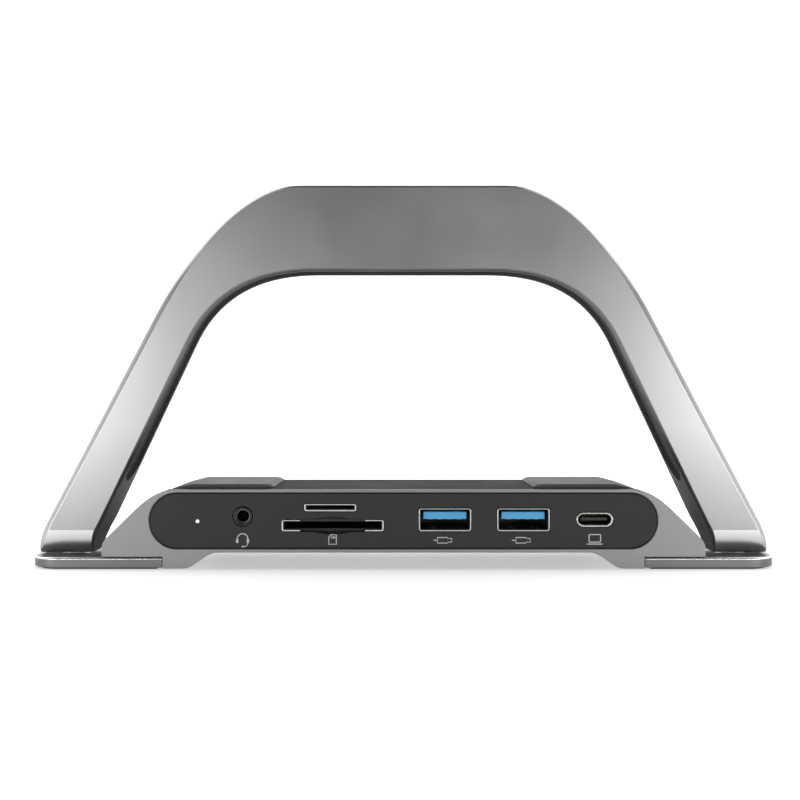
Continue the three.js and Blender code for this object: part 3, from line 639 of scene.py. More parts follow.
def arch_section(pair):
    """The arch's cross-section at a station, as 3-D points."""
    outer_z, inner_z = pair[0][1], pair[1][1]
    bevel = 0.65 + 0.75 * leg_share(outer_z)
    low = min(outer_z, inner_z)
    shrink = 1.0 if low > KNUCKLE else max((low - ARCH_LOW) / (KNUCKLE - ARCH_LOW), 0.12)
    depth = 0.8 * shrink
    bevel *= 0.45 + 0.55 * shrink
    inner = 0.8 * shrink
    back = 0.15 * shrink

    def at(from_outer, from_front=None, from_rear=None):
        x, z = across(pair, from_outer)
        y = front_y(z) + from_front if from_front is not None else rear_y(z) - from_rear
        return (x, y, z)

    inside = -1e-9
    return [
        at(0, from_front=depth), at(bevel * 0.12, from_front=depth * 0.72),
        at(bevel * 0.88, from_front=depth * 0.05), at(bevel * 1.05, from_front=0),
        at(-inner * 1.1, from_front=0), at(-inner * 0.9, from_front=inner * 0.08),
        at(-inner * 0.1, from_front=inner * 0.88), at(inside, from_front=inner * 1.1),
        at(inside, from_rear=back), at(-back * 0.3, from_rear=back * 0.3),
        at(-back, from_rear=0), at(4 * back, from_rear=0),
        at(1.2 * back, from_rear=1.2 * back), at(0, from_rear=4 * back),
    ]


FACE, BEVEL, WALL, INNER_EDGE, KNUCKLE_HIGHLIGHT_BAND = range(5)


def arch_regions(obj, section_size):
    """Marks the bevel, the inner edge, the wall and the knuckle, each with its own material: a
    painted highlight on the knuckle, painted shade on the inner edge and the wall.
    """
    for polygon in obj.data.polygons[1:-1]:
        side = (polygon.index - 1) % section_size
        if side <= 2 or side in (11, 12):
            polygon.material_index = BEVEL
        elif side == 3 and polygon.center.z < KNUCKLE * MM:
            polygon.material_index = KNUCKLE_HIGHLIGHT_BAND
        elif 4 <= side <= 6:
            polygon.material_index = INNER_EDGE
        elif 7 <= side <= 9:
            polygon.material_index = WALL


def two_legs(rings):
    """Rings for the right half, from the middle down, made into the whole arch."""
    left = [[(-x, y, z) for x, y, z in ring] for ring in reversed(rings)]
    return left[:-1] + rings


stations = arch_stations()
inner_run = [pair[1] for pair in stations if pair[1][1] > LINER_LOW]


def wall_solid(name, near, far, inset_by):
    """A strip along the opening's wall, between two depths below it, round at its ends."""
    front = ARCH_FRONT + FRONT_RIM
    low = LINER_LOW + inset_by
    radius = (rear_at(LINER_LOW) - REAR_RIM - front) / 2 - inset_by
    centre_z = low + radius
    dense = []
    for (x0, z0), (x1, z1) in zip(inner_run, inner_run[1:]):
        parts = 3 if z1 < centre_z + 2 else 1
        dense += [(x0 + (x1 - x0) * i / parts, z0 + (z1 - z0) * i / parts) for i in range(parts)]
    last = inner_run[-1]
    below = (last[0] + (last[1] - low) * INNER_LEAN, low)
    dense = [p for p in dense if p[1] > low + 1.5]
    for share in (1.0, 0.6, 0.3, 0.12, 0.03, 0.004):
        z = low + 1.4 * share
        dense.append((below[0] - (z - low) * INNER_LEAN, z))
    rings = []
    for index, (x, z) in enumerate(dense):
        before = dense[max(index - 1, 0)]
        after = dense[min(index + 1, len(dense) - 1)]
        along = Vector((after[0] - before[0], after[1] - before[1])).normalized()
        if index == 0:
            along = Vector((1, 0))
        outward = Vector((-along.y, along.x))
        y0 = front + inset_by
        y1 = rear_at(z) - REAR_RIM - inset_by
        if z < centre_z:
            middle = (y0 + y1) / 2
            half = sqrt(max(radius ** 2 - (centre_z - z) ** 2, 0.0))
            y0, y1 = max(middle - half, y0), min(middle + half, y1)
        a = (x + outward.x * near, z + outward.y * near)
        b = (x + outward.x * far, z + outward.y * far)
        rings.append([(a[0], y0, a[1]), (b[0], y0, b[1]), (b[0], y1, b[1]), (a[0], y1, a[1])])
    return loft(name, two_legs(rings))


def lug_cutters(side):
    x0, x1 = sorted((side * (HINGE_X - SLOT_HALF), side * (HINGE_X + SLOT_HALF)))
    back = HINGE_Y + THICK_FOOT
    lower = box_outline(HINGE_Y - LUG_FRONT - 0.3, back, ARCH_LOW - 2, HINGE_Z)
    upper = box_outline(HINGE_Y, back, HINGE_Z - 2, HINGE_Z + LUG_STEM + 0.9)
    return [
        prism("cut", circle(HINGE_Y, HINGE_Z, LUG_RADIUS + 0.35, 64), "X", x0, x1),
        prism("cut", lower, "X", x0, x1),
        prism("cut", upper, "X", x0 + EPS, x1 - EPS),
    ]


def hinge_rod(name, radius, start, end, side, edge=0.0):
    x0, x1 = sorted((side * start, side * end))
    return prism(name, circle(HINGE_Y, HINGE_Z, radius), "X", x0, x1, edge, edge)


def build_arch():
    body = loft("arch_body", two_legs([arch_section(pair) for pair in stations]))
    arch_regions(body, len(arch_section(stations[0])))
    plain = body.copy()
    plain.data = body.data.copy()
    bpy.context.scene.collection.objects.link(plain)
    tools = [wall_solid("cut", -2, GROOVE_DEPTH, 0.0)]
    for side in (-1, 1):
        tools += lug_cutters(side)
        tools.append(hinge_rod("cut", CAP_RADIUS + 0.05, CAP_FROM, CAP_CUT, side))
        tools.append(hinge_rod("cut", PIN_RADIUS + 0.1, CAP_CUT - 1, PIN_TO + 0.1, side))
    looks = [satin_arch, cut_edge, shaded_wall, shaded_inner_edge, knuckle_highlight]
    for obj in [body] + tools:
        for look in looks:
            obj.data.materials.append(look)
    for tool in tools:
        tool.data.polygons.foreach_set("material_index", [WALL] * len(tool.data.polygons))
    combine(body, tools)
    dress(body, looks, "satin_aluminium", "arch_frame", body="arch", smooth=28)
    for name, side in SIDES:
        rod = hinge_rod(f"hinge_plug_{name}", CAP_RADIUS, CAP_FROM, CAP_TO, side)
        cap = combine(rod, [plain], "INTERSECT", keep=True)
        dress(cap, shaded_wall, "satin_aluminium", f"hinge_cap_{name}", body="arch")
    bpy.data.objects.remove(plain)
    liner = wall_solid("arch_liner_strip", LINER_SINK, GROOVE_DEPTH - 0.02, 0.06)
    dress(liner, black_rubber, "black_rubber", "arch_liner", body="arch")


# ---------- hinges ----------

def build_hinge(name, side):
    x0, x1 = sorted((side * (HINGE_X - LUG_HALF), side * (HINGE_X + LUG_HALF)))
    ring = (arc(HINGE_Y, HINGE_Z, LUG_RADIUS, -45, 225, 40)
            + [(HINGE_Y - LUG_FRONT, HINGE_Z - 4.4), (HINGE_Y - LUG_FRONT, TAB_LOW + 0.5),
               (HINGE_Y + LUG_STEM, TAB_LOW + 0.5), (HINGE_Y + LUG_STEM, HINGE_Z - 3.6)])
    lug = prism(f"hinge_lug_{name}", ring, "X", x0, x1, 0.25, 0.25)
    tab_x = sorted((side * (HINGE_X - TAB_HALF), side * (HINGE_X + TAB_HALF)))
    tab = prism("tab", rounded((tab_x[0] + tab_x[1]) / 2, (HINGE_Y - LUG_RADIUS + TAB_END) / 2,
                               2 * TAB_HALF, TAB_END - HINGE_Y + LUG_RADIUS, 1.2), "Z",
                TAB_LOW, TAB_HIGH, 0.0, 0.15)
    combine(lug, [tab], "UNION")
    tools = [hinge_rod("cut", PIN_RADIUS + 0.1, HINGE_X - 3, HINGE_X + 3, side)]
    for y in HINGE_SCREWS_Y:
        tools.append(prism("cut", circle(side * HINGE_X, y, 1.85), "Z", TAB_HIGH - 0.6, TAB_HIGH + 1))
    combine(lug, tools)
    dress(lug, steel, "fitting_steel", f"hinge_bracket_{name}")
    pin = hinge_rod(f"hinge_axle_{name}", PIN_RADIUS, PIN_FROM, PIN_TO, side, 0.3)
    dress(pin, steel, "fitting_steel", f"hinge_pin_{name}", body="arch")
    gap = LUG_HALF + 0.3
    places = {"inner": HINGE_X - gap - WASHER_THICK, "outer": HINGE_X + gap}
    for place_name, start in places.items():
        washer = hinge_rod(f"washer_{name}_{place_name}", WASHER_RADIUS, start,
                           start + WASHER_THICK, side, 0.12)
        combine(washer, [hinge_rod("cut", PIN_RADIUS + 0.1, start - 2, start + 2, side)])
        dress(washer, steel, "fitting_steel", f"friction_washer_{name}_{place_name}", body="arch")
    for index, y in enumerate(HINGE_SCREWS_Y):
        screw = screw_piece(f"tab_screw_{name}_{index + 1}", side * HINGE_X, y,
                            1.7, 0.8, 1.2, TAB_HIGH - 0.55, TAB_HIGH - 0.02, up=True)
        dress(screw, steel, "fitting_steel", f"hinge_screw_{name}_{index + 1}")


def screw_piece(name, x, y, head, shank, tip, head_low, head_high, up):
    """A round-headed screw with a six-lobed socket. up tells whether its head is on top."""
    body = prism(name, circle(x, y, head), "Z", head_low, head_high,
                 0.0 if up else 0.18, 0.18 if up else 0.0)
    start, end = (tip, head_low + 0.1) if up else (head_high - 0.1, tip)
    combine(body, [prism("shank", circle(x, y, shank, 24), "Z", start, end)], "UNION")
    lobes = []
    for i in range(72):
        angle = radians(5 * i)
        radius = head * (0.47 + 0.09 * cos(6 * angle))
        lobes.append((x + radius * cos(angle), y + radius * sin(angle)))
    if up:
        socket = prism("cut", lobes, "Z", head_high - 0.35, head_high + 1)
    else:
        socket = prism("cut", lobes, "Z", head_low - 1, head_low + 0.6)
    return combine(body, [socket])


# ---------- front frame, plates and rubber soles ----------

def frame_outline():
    half = bezier((FOOT_START, FRAME_LOW), (50.5, FRAME_LOW), (52.2, FRAME_FOOT),
                  (55.5, FRAME_FOOT), 20)
    half += [(PLATE_INNER - 0.12, FRAME_FOOT), (PLATE_INNER - 0.12, PLATE_HIGH + 0.12)]
    half += [(BRACKET_HALF, PLATE_HIGH + 0.12), (BRACKET_HALF, 4.8)]
    half += bezier((BRACKET_HALF, 4.8), (BRACKET_HALF, 6.8), (75.1, 7.6), (74.2, 8.5), 12)
    half += bezier((67.2, 15.4), (63.6, 18.6), (61, FRAME_TOP), (56.8, FRAME_TOP), 20)
    return both_sides(half)


def build_frame():
    body = prism("frame_body", frame_outline(), "Y", 0, BRACKET_DEPTH, 0.15, 0.3)
    window = mouth_cutter("cut", stadium(CAVITY_HALF, CAVITY_HEIGHT), LIP_DEPTH + 2, 0, 0.22)
    seat = prism("cut", stadium(CASE_HALF + 0.2, CASE_HIGH - CASE_LOW + 0.4), "Y",
                 LIP_DEPTH, BRACKET_DEPTH + 2)
    middle = prism("cut", box_outline(-FOOT_START, FOOT_START, 0, FRAME_TOP + 2), "Y",
                   LIP_DEPTH, BRACKET_DEPTH + 2)
    combine(body, [window, seat, middle])
    dress(body, satin_frame, "satin_aluminium", "front_frame")


def plate_outline(grow):
    x0, x1 = PLATE_INNER + grow, PLATE_OUTER - grow
    y0, y1 = grow, PLATE_DEPTH - grow
    corner = PLATE_CORNER - grow
    rear = 4 - grow
    points = [(x0, y0)]
    points += arc(x1 - corner, y0 + corner, corner, -90, 0, 20)
    points += bezier((x1, 20), (x1, 27), (x1 - 1.2, 31), (x1 - 3.2, 36), 16)
    low, mid = (77.5 - grow, 57 - grow), (74.5 - grow, y1)
    points += bezier(low, tuple(a + (b - a) * 2 / 3 for a, b in zip(low, mid)),
                     tuple(a + (b - a) * 2 / 3 for a, b in zip((70 - grow, y1), mid)),
                     (70 - grow, y1), 12)
    points += arc(x0 + rear, y1 - rear, rear, 90, 180, 12)
    return points


def build_plate():
    plate = prism("plate_right", plate_outline(0), "Z", PLATE_LOW, PLATE_HIGH, 0.3, 0.5)
    tools = [prism("cut", inset(clean(plate_outline(0)), SOLE_RIM), "Z",
                   PLATE_LOW - 2, SOLE_HIGH + 0.1)]
    tab_mid = (HINGE_Y - LUG_RADIUS + TAB_END) / 2
    tools.append(prism("cut", rounded(HINGE_X, tab_mid, 2 * TAB_HALF + 0.3,
                                      TAB_END - HINGE_Y + LUG_RADIUS + 0.3, 1.35), "Z",
                       TAB_LOW - 0.1, PLATE_HIGH + 2))
    for x, y in PLATE_SCREWS:
        tools.append(prism("cut", circle(x, y, 2.45), "Z", 0, 2.4))
    combine(plate, tools)
    # The upper rounding gets the painted highlight, the flat top gets the frame's aluminium, and the
    # rest gets the plate's darkened aluminium, which paints in shade.
    for polygon in plate.data.polygons:
        high = polygon.center.z > (PLATE_HIGH - PLATE_HIGHLIGHT_DEEP) * MM and polygon.normal.z > 0.05
        flat = polygon.normal.z >= 0.97
        polygon.material_index = (2 if flat else 1) if high else 0
    left = mirrored("plate_left", plate)
    looks = [satin_dark, plate_highlight, satin_frame]
    dress(plate, looks, "satin_aluminium", "base_plate_right")
    dress(left, looks, "satin_aluminium", "base_plate_left")
    outline = inset(clean(plate_outline(0)), SOLE_RIM + 0.12)
    sole = prism("sole_right", outline, "Z", 0, SOLE_HIGH, 0.2, 0.0)
    other = mirrored("sole_left", sole)
    dress(sole, black_rubber, "black_rubber", "foot_pad_right")
    dress(other, black_rubber, "black_rubber", "foot_pad_left")


# ---------- hub casing ----------

def half_shell(top):
    """The C-shaped section of one cover, split at the casing's middle."""
    outer_r = (CASE_HIGH - CASE_LOW) / 2
    inner_r = outer_r - CASE_WALL
    cx = CASE_HALF - outer_r
    start = degrees(asin(SEAM / outer_r))
    steps = 24
    outer = arc(cx, CASE_MID, outer_r, start, 90, steps)
    inner = arc(cx, CASE_MID, inner_r, 90, start, steps)
    left = [(-x, z) for x, z in reversed(outer)]
    back = [(-x, z) for x, z in reversed(inner)]
    outline = outer + left + back + inner
    if top:
        return outline
    return [(x, 2 * CASE_MID - z) for x, z in outline]


def build_casing():
    top = prism("shell_top", half_shell(True), "Y", CASE_FRONT, CASE_REAR, 0.1, 0.1)
    dress(top, graphite, "graphite_casing", "top_cover")
    bottom = prism("shell_bottom", half_shell(False), "Y", CASE_FRONT, CASE_REAR, 0.1, 0.1)
    bosses = [prism("boss", circle(x, y, 3.0), "Z", CASE_LOW + 0.02, 7.2) for x, y in CASE_SCREWS]
    combine(bottom, bosses, "UNION")
    holes = [prism("cut", circle(x, y, 2.15), "Z", 0, 6.1) for x, y in CASE_SCREWS]
    vents = [prism("cut", rounded(x, 21.5, 1.6, 14, 0.8), "Z", 0, 5.8)
             for x in (-9.6, -6.4, -3.2, 0, 3.2, 6.4, 9.6)]
    combine(bottom, holes + vents)
    dress(bottom, graphite, "graphite_casing", "bottom_cover")
    for index, (x, y) in enumerate(CASE_SCREWS):
        screw = screw_piece(f"cover_screw_{index + 1}", x, y, 1.9, 1.0, 15, 4.9, 6.0, up=False)
        dress(screw, steel, "fitting_steel", f"case_screw_{index + 1}")
    for name, side in SIDES:
        for index, (x, y) in enumerate(PLATE_SCREWS):
            screw = screw_piece(f"frame_screw_{name}_{index + 1}", side * x, y,
                                2.2, 1.25, 8.2, 1.2, 2.2, up=False)
            dress(screw, steel, "fitting_steel", f"plate_screw_{name}_{index + 1}")


def build_pads():
    """Each pad has a long taper at its outer end, a short one at its inner end."""
    low = CASE_HIGH - 0.02
    for name, side in SIDES:
        rings = []
        for rise, inner_in, outer_in, end_in in (
                (0.0, 0.15, 0.15, 0.15), (0.25, 0.0, 0.1, 0.0), (0.55, 0.35, 1.2, 0.12),
                (0.85, 0.9, 2.4, 0.35), (1.0, 1.5, 3.3, 0.8)):
            z = low + (PAD_TOP - low) * rise
            x0, x1 = PAD_INNER + inner_in, PAD_OUTER - outer_in
            y0, y1 = PAD_FRONT + end_in, PAD_REAR - end_in
            outline = rounded((x0 + x1) / 2, (y0 + y1) / 2, x1 - x0, y1 - y0, 1.6, 8)
            rings.append([(side * x, y, z) for x, y in outline])
        pad = loft(f"rest_pad_{name}", rings)
        dress(pad, grey_rubber, "grey_rubber", f"top_pad_{name}")


# ---------- port panels ----------

def card_outline(size, grow):
    x, z, width, height = size
    return rounded(x, z, width + 2 * grow, height + 2 * grow, 0.5 + grow, 6)


def usb_a_outline(x, grow):
    z, width, height = USB_A
    return rounded(x, z, width + 2 * grow, height + 2 * grow, 0.7 + grow, 6)


def usb_c_outline(x, grow):
    z, width, height = USB_C
    return rounded(x, z, width + 2 * grow, height + 2 * grow, height, 10)


def video_outline(grow):
    x, z, width, height = VIDEO
    w, h = width / 2 + grow, height / 2 + grow
    corners = [(-w, h), (-w, -0.6), (-w + 2.2, -h), (w - 2.2, -h), (w, -0.6), (w, h)]
    return [(x + a, z + b) for a, b in corners]


def scoop(name, grow=0.0):
    """The hollow for a thumb at the middle of the card slot."""
    x, z = SD[0], SD[1]
    rings = []
    for step in range(1, 16):
        angle = pi * step / 16
        size = sin(angle)
        y = PANEL_FRONT - (1.3 + grow) * cos(angle)
        rings.append([(x + (7.3 + grow) * size * cos(a), y, z + (2.2 + grow) * size * sin(a))
                      for a in (2 * pi * i / 40 for i in range(40))])
    return loft(name, rings)


def build_front_panel():
    panel = prism("port_panel", stadium(CAVITY_HALF - 0.12, CAVITY_HEIGHT - 0.24), "Y",
                  PANEL_FRONT, PANEL_BACK, 0.22, 0.0)
    outlines = [usb_a_outline(x, SEAM) for x in USB_A_X]
    outlines += [usb_c_outline(USB_C_HOST_X, SEAM), card_outline(SD, SEAM),
                 card_outline(MICRO_SD, SEAM)]
    outlines += [circle(*JACK, 2.45 + SEAM), circle(*LED, 0.42 + SEAM, 24)]
    tools = [mouth_cutter("cut", o, PANEL_BACK + 2, PANEL_FRONT, 0.15) for o in outlines]
    combine(panel, tools + [scoop("cut")])
    dress(panel, charcoal, "charcoal_panel", "front_panel")


def build_rear_panel():
    height = CASE_HIGH - CASE_LOW
    panel = prism("back_panel", stadium(CASE_HALF, height), "Y", REAR_FRONT, REAR_BACK, 0.15, 1.5)
    x, z, width, tall = NETWORK
    outlines = [rounded(x, z, width + 0.2, tall + 0.2, 0.3, 4), video_outline(SEAM),
                usb_c_outline(USB_C_POWER_X, SEAM)]
    tools = [mouth_cutter("cut", o, REAR_FRONT - 2, REAR_BACK, 0.15) for o in outlines]
    combine(panel, tools)
    dress(panel, charcoal, "charcoal_panel", "rear_panel")


def shell_piece(name, outline, wall, mouth, back, node):
    """A thin metal shell with a rolled lip at its mouth."""
    start, end = sorted((mouth, back))
    inward = 1 if back > mouth else -1
    body = prism(name, outline(0), "Y", start, end, 0.12, 0.12)
    flare = mouth_cutter("cut", outline(-wall), back - inward * wall, mouth, 0.12)
    combine(body, [flare])
    return dress(body, nickel, "socket_steel", node)


def slab(name, x, z, width, height, start, end, edge=0.12):
    start, end = sorted((start, end))
    return prism(name, box_outline(x - width / 2, x + width / 2, z - height / 2, z + height / 2),
                 "Y", start, end, edge, edge)


def build_usb_a(index, x):
    mouth, back = PANEL_FRONT, PANEL_FRONT + 18
    name = f"usb_a_{index}"
    z, _, height = USB_A
    body = prism(f"{name}_can", usb_a_outline(x, 0), "Y", mouth, back, 0.12, 0.0)
    hollow = mouth_cutter("cut", usb_a_outline(x, -0.3), back - 0.4, mouth, 0.06)
    combine(body, [hollow])
    springs = []
    for dx in (-3.2, 3.2):
        for top in (1, -1):
            level = z + top * (height / 2 - 0.4)
            leaf = [(mouth + 1.2, level), (mouth + 3.4, level - top * 0.55),
                    (mouth + 4.4, level - top * 0.5), (mouth + 8, level),
                    (mouth + 8, level - top * 0.02)]
            leaf += [(y, w + top * 0.2) for y, w in reversed(leaf)]
            springs.append(prism("spring", leaf, "X", x + dx - 0.9, x + dx + 0.9))
    dress(body, nickel, "socket_steel", f"{name}_shell")
    dress(join(f"{name}_springs", springs), nickel, "socket_steel")
    dark_liner(f"{name}_moulding", lambda grow: usb_a_outline(x, grow), 0.3, mouth + 0.3, back - 0.45)
    blade = slab(f"{name}_blade", x, 13.55, 11.0, 1.9, mouth + 1.2, back - 3.9, 0.25)
    combine(blade, [slab("base", x, 13.5, 11.4, 2.4, back - 4.2, back - 0.5)], "UNION")
    dress(blade, blue_plastic, "blue_plastic", f"{name}_tongue")
    pins = [slab("pin", x + dx, 13.55 - 0.97, 1.1, 0.12, mouth + 1.9, mouth + 9, 0.02)
            for dx in (-3.5, -1.2, 1.2, 3.5)]
    dress(join(f"{name}_contacts", pins), gold, "socket_steel")


def build_usb_c(name, x, mouth, inward):
    back = mouth + inward * 9
    shell_piece(f"{name}_can", lambda grow: usb_c_outline(x, grow), 0.4, mouth, back, f"{name}_shell")
    dark_liner(f"{name}_moulding", lambda grow: usb_c_outline(x, grow), 0.4, mouth + inward * 0.4,
               back - inward * 0.45)
    z = USB_C[0]
    blade = slab(f"{name}_blade", x, z, 6.7, 0.7, mouth + inward * 1.5, back - inward * 2, 0.08)
    base = slab("base", x, z, 6.4, 1.9, back - inward * 2.2, back - inward * 0.6)
    combine(blade, [base], "UNION")
    dress(blade, black_plastic, "black_plastic", f"{name}_tongue")
    pins = []
    for row in (1, -1):
        for i in range(12):
            dx = (i - 5.5) * 0.5
            pins.append(slab("pin", x + dx, z + row * 0.36, 0.24, 0.05,
                             mouth + inward * 1.9, mouth + inward * 5.5, 0.01))
    dress(join(f"{name}_contacts", pins), gold, "socket_steel")


def dark_liner(name, outline, wall, mouth, back):
    """The black moulding inside a socket's metal shell."""
    start, end = sorted((mouth, back))
    inward = 1 if back > mouth else -1
    body = prism(name, outline(-wall - 0.02), "Y", start, end)
    hollow = prism("cut", outline(-wall - 0.14), "Y", *sorted((mouth - inward, back - inward * 0.2)))
    return dress(combine(body, [hollow]), black_plastic, "black_plastic")


def build_card_slots():
    for name, node, size, depth in (("sd_slot", "sd_card_socket", SD, 28),
                                    ("microsd_slot", "microsd_card_socket", MICRO_SD, 15)):
        x, z, _, height = size
        body = prism(name, card_outline(size, 0), "Y", PANEL_FRONT, PANEL_FRONT + depth, 0.1, 0.1)
        tools = [mouth_cutter("cut", card_outline(size, -0.4), PANEL_FRONT + depth - 1.5,
                              PANEL_FRONT, 0.12)]
        if size is SD:
            tools.append(prism("cut", rounded(x, z, 2 * 8.2, 6, 0.5), "Y", -2, PANEL_FRONT + 1.45))
        combine(body, tools)
        for polygon in body.data.polygons:
            center = polygon.center / MM
            rim = size is SD and abs(center.x - x) < 8.4 and center.y < PANEL_FRONT + 1.6
            polygon.material_index = 1 if rim else 0
        dress(body, [nickel, charcoal], "socket_steel", node)
        count, pitch = (9, 2.5) if size is SD else (8, 1.1)
        level = z + height / 2 - 0.72
        fingers = []
        for i in range(count):
            dx = (i - (count - 1) / 2) * pitch
            fingers.append(slab("finger", x + dx, level, pitch * 0.3, 0.12,
                                PANEL_FRONT + depth * 0.6, PANEL_FRONT + depth - 1.8, 0.03))
        dress(join(f"{name}_contacts", fingers), gold, "socket_steel")
        start = 1.5 if size is SD else 0.5
        dark_liner(f"{name}_bed", lambda grow, size=size: card_outline(size, grow), 0.4,
                   PANEL_FRONT + start, PANEL_FRONT + depth - 1.55)


def build_jack():
    x, z = JACK
    barrel = prism("jack_body", circle(x, z, 2.45), "Y", PANEL_FRONT - 0.02, 2.6, 0.3, 0.0)
    block = prism("block", rounded(x, 12.95, 6, 6.9, 0.5), "Y", 2.2, 15, 0.2, 0.2)
    combine(barrel, [block], "UNION")
    combine(barrel, [mouth_cutter("cut", circle(x, z, 1.8), 14, PANEL_FRONT, 0.3)])
    dress(barrel, black_plastic, "black_plastic", "audio_jack")
    ring = prism("jack_ring", circle(x, z, 1.79), "Y", 1.4, 5.0, 0.1, 0.1)
    combine(ring, [prism("cut", circle(x, z, 1.62), "Y", 0, 8)])
    dress(ring, nickel, "socket_steel")


def build_light():
    x, z = LED
    rings = []
    for y, radius in ((PANEL_FRONT, 0.1), (0.33, 0.26), (0.4, 0.36), (0.6, 0.42), (6.2, 0.42)):
        rings.append([(a, y, b) for a, b in circle(x, z, radius, 28)])
    dome = loft("status_lens", rings)
    leg = prism("leg", circle(x, 5.75, 0.41, 28), "Z", 9.5, z)
    combine(dome, [leg], "UNION")
    dress(dome, glow, "white_plastic", "led_light_pipe")


def build_video():
    x, z = VIDEO[0], VIDEO[1]
    mouth, back = REAR_BACK, REAR_BACK - 12
    shell_piece("video_can", video_outline, 0.4, mouth, back, "video_port_shell")
    blade = slab("video_blade", x, z, 11, 1.2, mouth - 1.5, back + 3, 0.12)
    combine(blade, [slab("base", x, z, 9, 3.6, back + 0.7, back + 3.4)], "UNION")
    dress(blade, black_plastic, "black_plastic", "video_port_tongue")
    pins = []
    for row in (1, -1):
        for i in range(10 if row > 0 else 9):
            dx = (i - (4.5 if row > 0 else 4.0)) * 1.0
            pins.append(slab("pin", x + dx, z + row * 0.61, 0.45, 0.06, mouth - 1.9, mouth - 8, 0.01))
    dress(join("video_contacts", pins), gold, "socket_steel")


def build_network():
    x, z, width, height = NETWORK
    low = z - height / 2 + 1.6
    body = prism("network_can", rounded(x, z, width, height, 0.25, 4), "Y",
                 REAR_BACK - 20, REAR_BACK, 0.1, 0.15)
    start = REAR_BACK - 14
    mouth = prism("cut", box_outline(x - 5.9, x + 5.9, low, low + 7.4), "Y", start, REAR_BACK + 2)
    key = prism("cut", box_outline(x - 2, x + 2, low + 7, low + 8.8), "Y", start, REAR_BACK + 2)
    combine(body, [mouth, key])
    dress(body, nickel, "socket_steel", "network_port")
    inner = prism("network_liner", box_outline(x - 5.88, x + 5.88, low + 0.02, low + 7.38), "Y",
                  start + 0.02, REAR_BACK - 0.5)
    hollow = prism("cut", box_outline(x - 5.5, x + 5.5, low + 0.4, low + 8), "Y",
                   start + 0.6, REAR_BACK + 2)
    combine(inner, [hollow])
    dress(inner, black_plastic, "black_plastic")
    wires = []
    for i in range(8):
        dx = (i - 3.5) * 1.02
        line = [(REAR_BACK - 3, low + 0.42), (REAR_BACK - 3, low + 0.72), (REAR_BACK - 12, low + 3.1),
                (REAR_BACK - 12.2, low + 2.8)]
        wires.append(prism("wire", line, "X", x + dx - 0.17, x + dx + 0.17))
    dress(join("network_contacts", wires), gold, "socket_steel")
    for name, dx in (("link", -5.9), ("activity", 5.9)):
        lamp = prism(f"network_lamp_{name}", rounded(x + dx, z + height / 2 - 1.5, 2.6, 1.4, 0.2, 4),
                     "Y", REAR_BACK - 0.5 - EPS, REAR_BACK - EPS)
        dress(lamp, print_ink, "white_plastic")


# ---------- printed pictograms ----------

INK_BACK = PANEL_FRONT + 0.03
INK_FRONT = PANEL_FRONT - 0.03


def stroke(line, width, closed=False):
    """A flat printed line along a run of points."""
    count = len(line)
    left, right = [], []
    for index, here in enumerate(line):
        before = line[index - 1] if closed or index else here
        after = line[(index + 1) % count] if closed or index < count - 1 else here
        along = Vector((after[0] - before[0], after[1] - before[1])).normalized()
        normal = Vector((-along.y, along.x)) * width / 2
        left.append((here[0] + normal.x, here[1] + normal.y))
        right.append((here[0] - normal.x, here[1] - normal.y))
    points, faces = [], []
    for a, b in zip(left, right):
        points += [(a[0], INK_FRONT, a[1]), (b[0], INK_FRONT, b[1]),
                   (b[0], INK_BACK, b[1]), (a[0], INK_BACK, a[1])]
    spans = count if closed else count - 1
    for i in range(spans):
        p, q = 4 * i, 4 * ((i + 1) % count)
        for k in range(4):
            m = (k + 1) % 4
            faces.append((p + k, p + m, q + m, q + k))
    if not closed:
        faces.append((0, 3, 2, 1))
        last = 4 * (count - 1)
        faces.append((last, last + 1, last + 2, last + 3))
    return make("stroke", points, faces)


def filled(outline):
    return prism("fill", outline, "Y", INK_FRONT, INK_BACK)


def build_pictograms():
    x, z = JACK[0], 7.7
    headset = [stroke(arc(x, z, 1.35, 0, 180, 24), 0.26),
               filled(rounded(x - 1.35, z - 0.45, 0.62, 1.1, 0.25, 5)),
               filled(rounded(x + 1.35, z - 0.45, 0.62, 1.1, 0.25, 5)),
               stroke(arc(x + 0.35, z - 0.9, 1.0, 0, -90, 12), 0.2),
               filled(rounded(x + 0.1, z - 1.9, 0.7, 0.36, 0.15, 4))]
    dress(join("pictogram_headset", headset), print_ink, "white_plastic")

    x, z = SD[0], 7.6
    w, h = 0.95, 1.2
    card = [stroke([(x - w, z - h), (x + w, z - h), (x + w, z + h), (x - w + 0.6, z + h),
                    (x - w, z + h - 0.6)], 0.24, closed=True)]
    card += [stroke([(x + dx, z + 0.8), (x + dx, z + 0.25)], 0.22) for dx in (-0.25, 0.15, 0.55)]
    dress(join("pictogram_card", card), print_ink, "white_plastic")

    for index, x in enumerate(USB_A_X):
        z = 7.4
        plug = [stroke(box_outline(x - 1.9, x + 0.6, z - 0.7, z + 0.7), 0.24, closed=True),
                stroke(box_outline(x + 0.6, x + 1.7, z - 0.45, z + 0.45), 0.2, closed=True),
                stroke([(x - 1.9, z), (x - 2.9, z)], 0.24)]
        dress(join(f"pictogram_plug_{index + 1}", plug), print_ink, "white_plastic")

    x, z = USB_C_HOST_X, 7.9
    laptop = [stroke(rounded(x, z, 2.9, 1.9, 0.2, 4), 0.24, closed=True),
              stroke([(x - 1.95, z - 1.45), (x + 1.95, z - 1.45)], 0.26)]
    dress(join("pictogram_laptop", laptop), print_ink, "white_plastic")


# ---------- assembly ----------

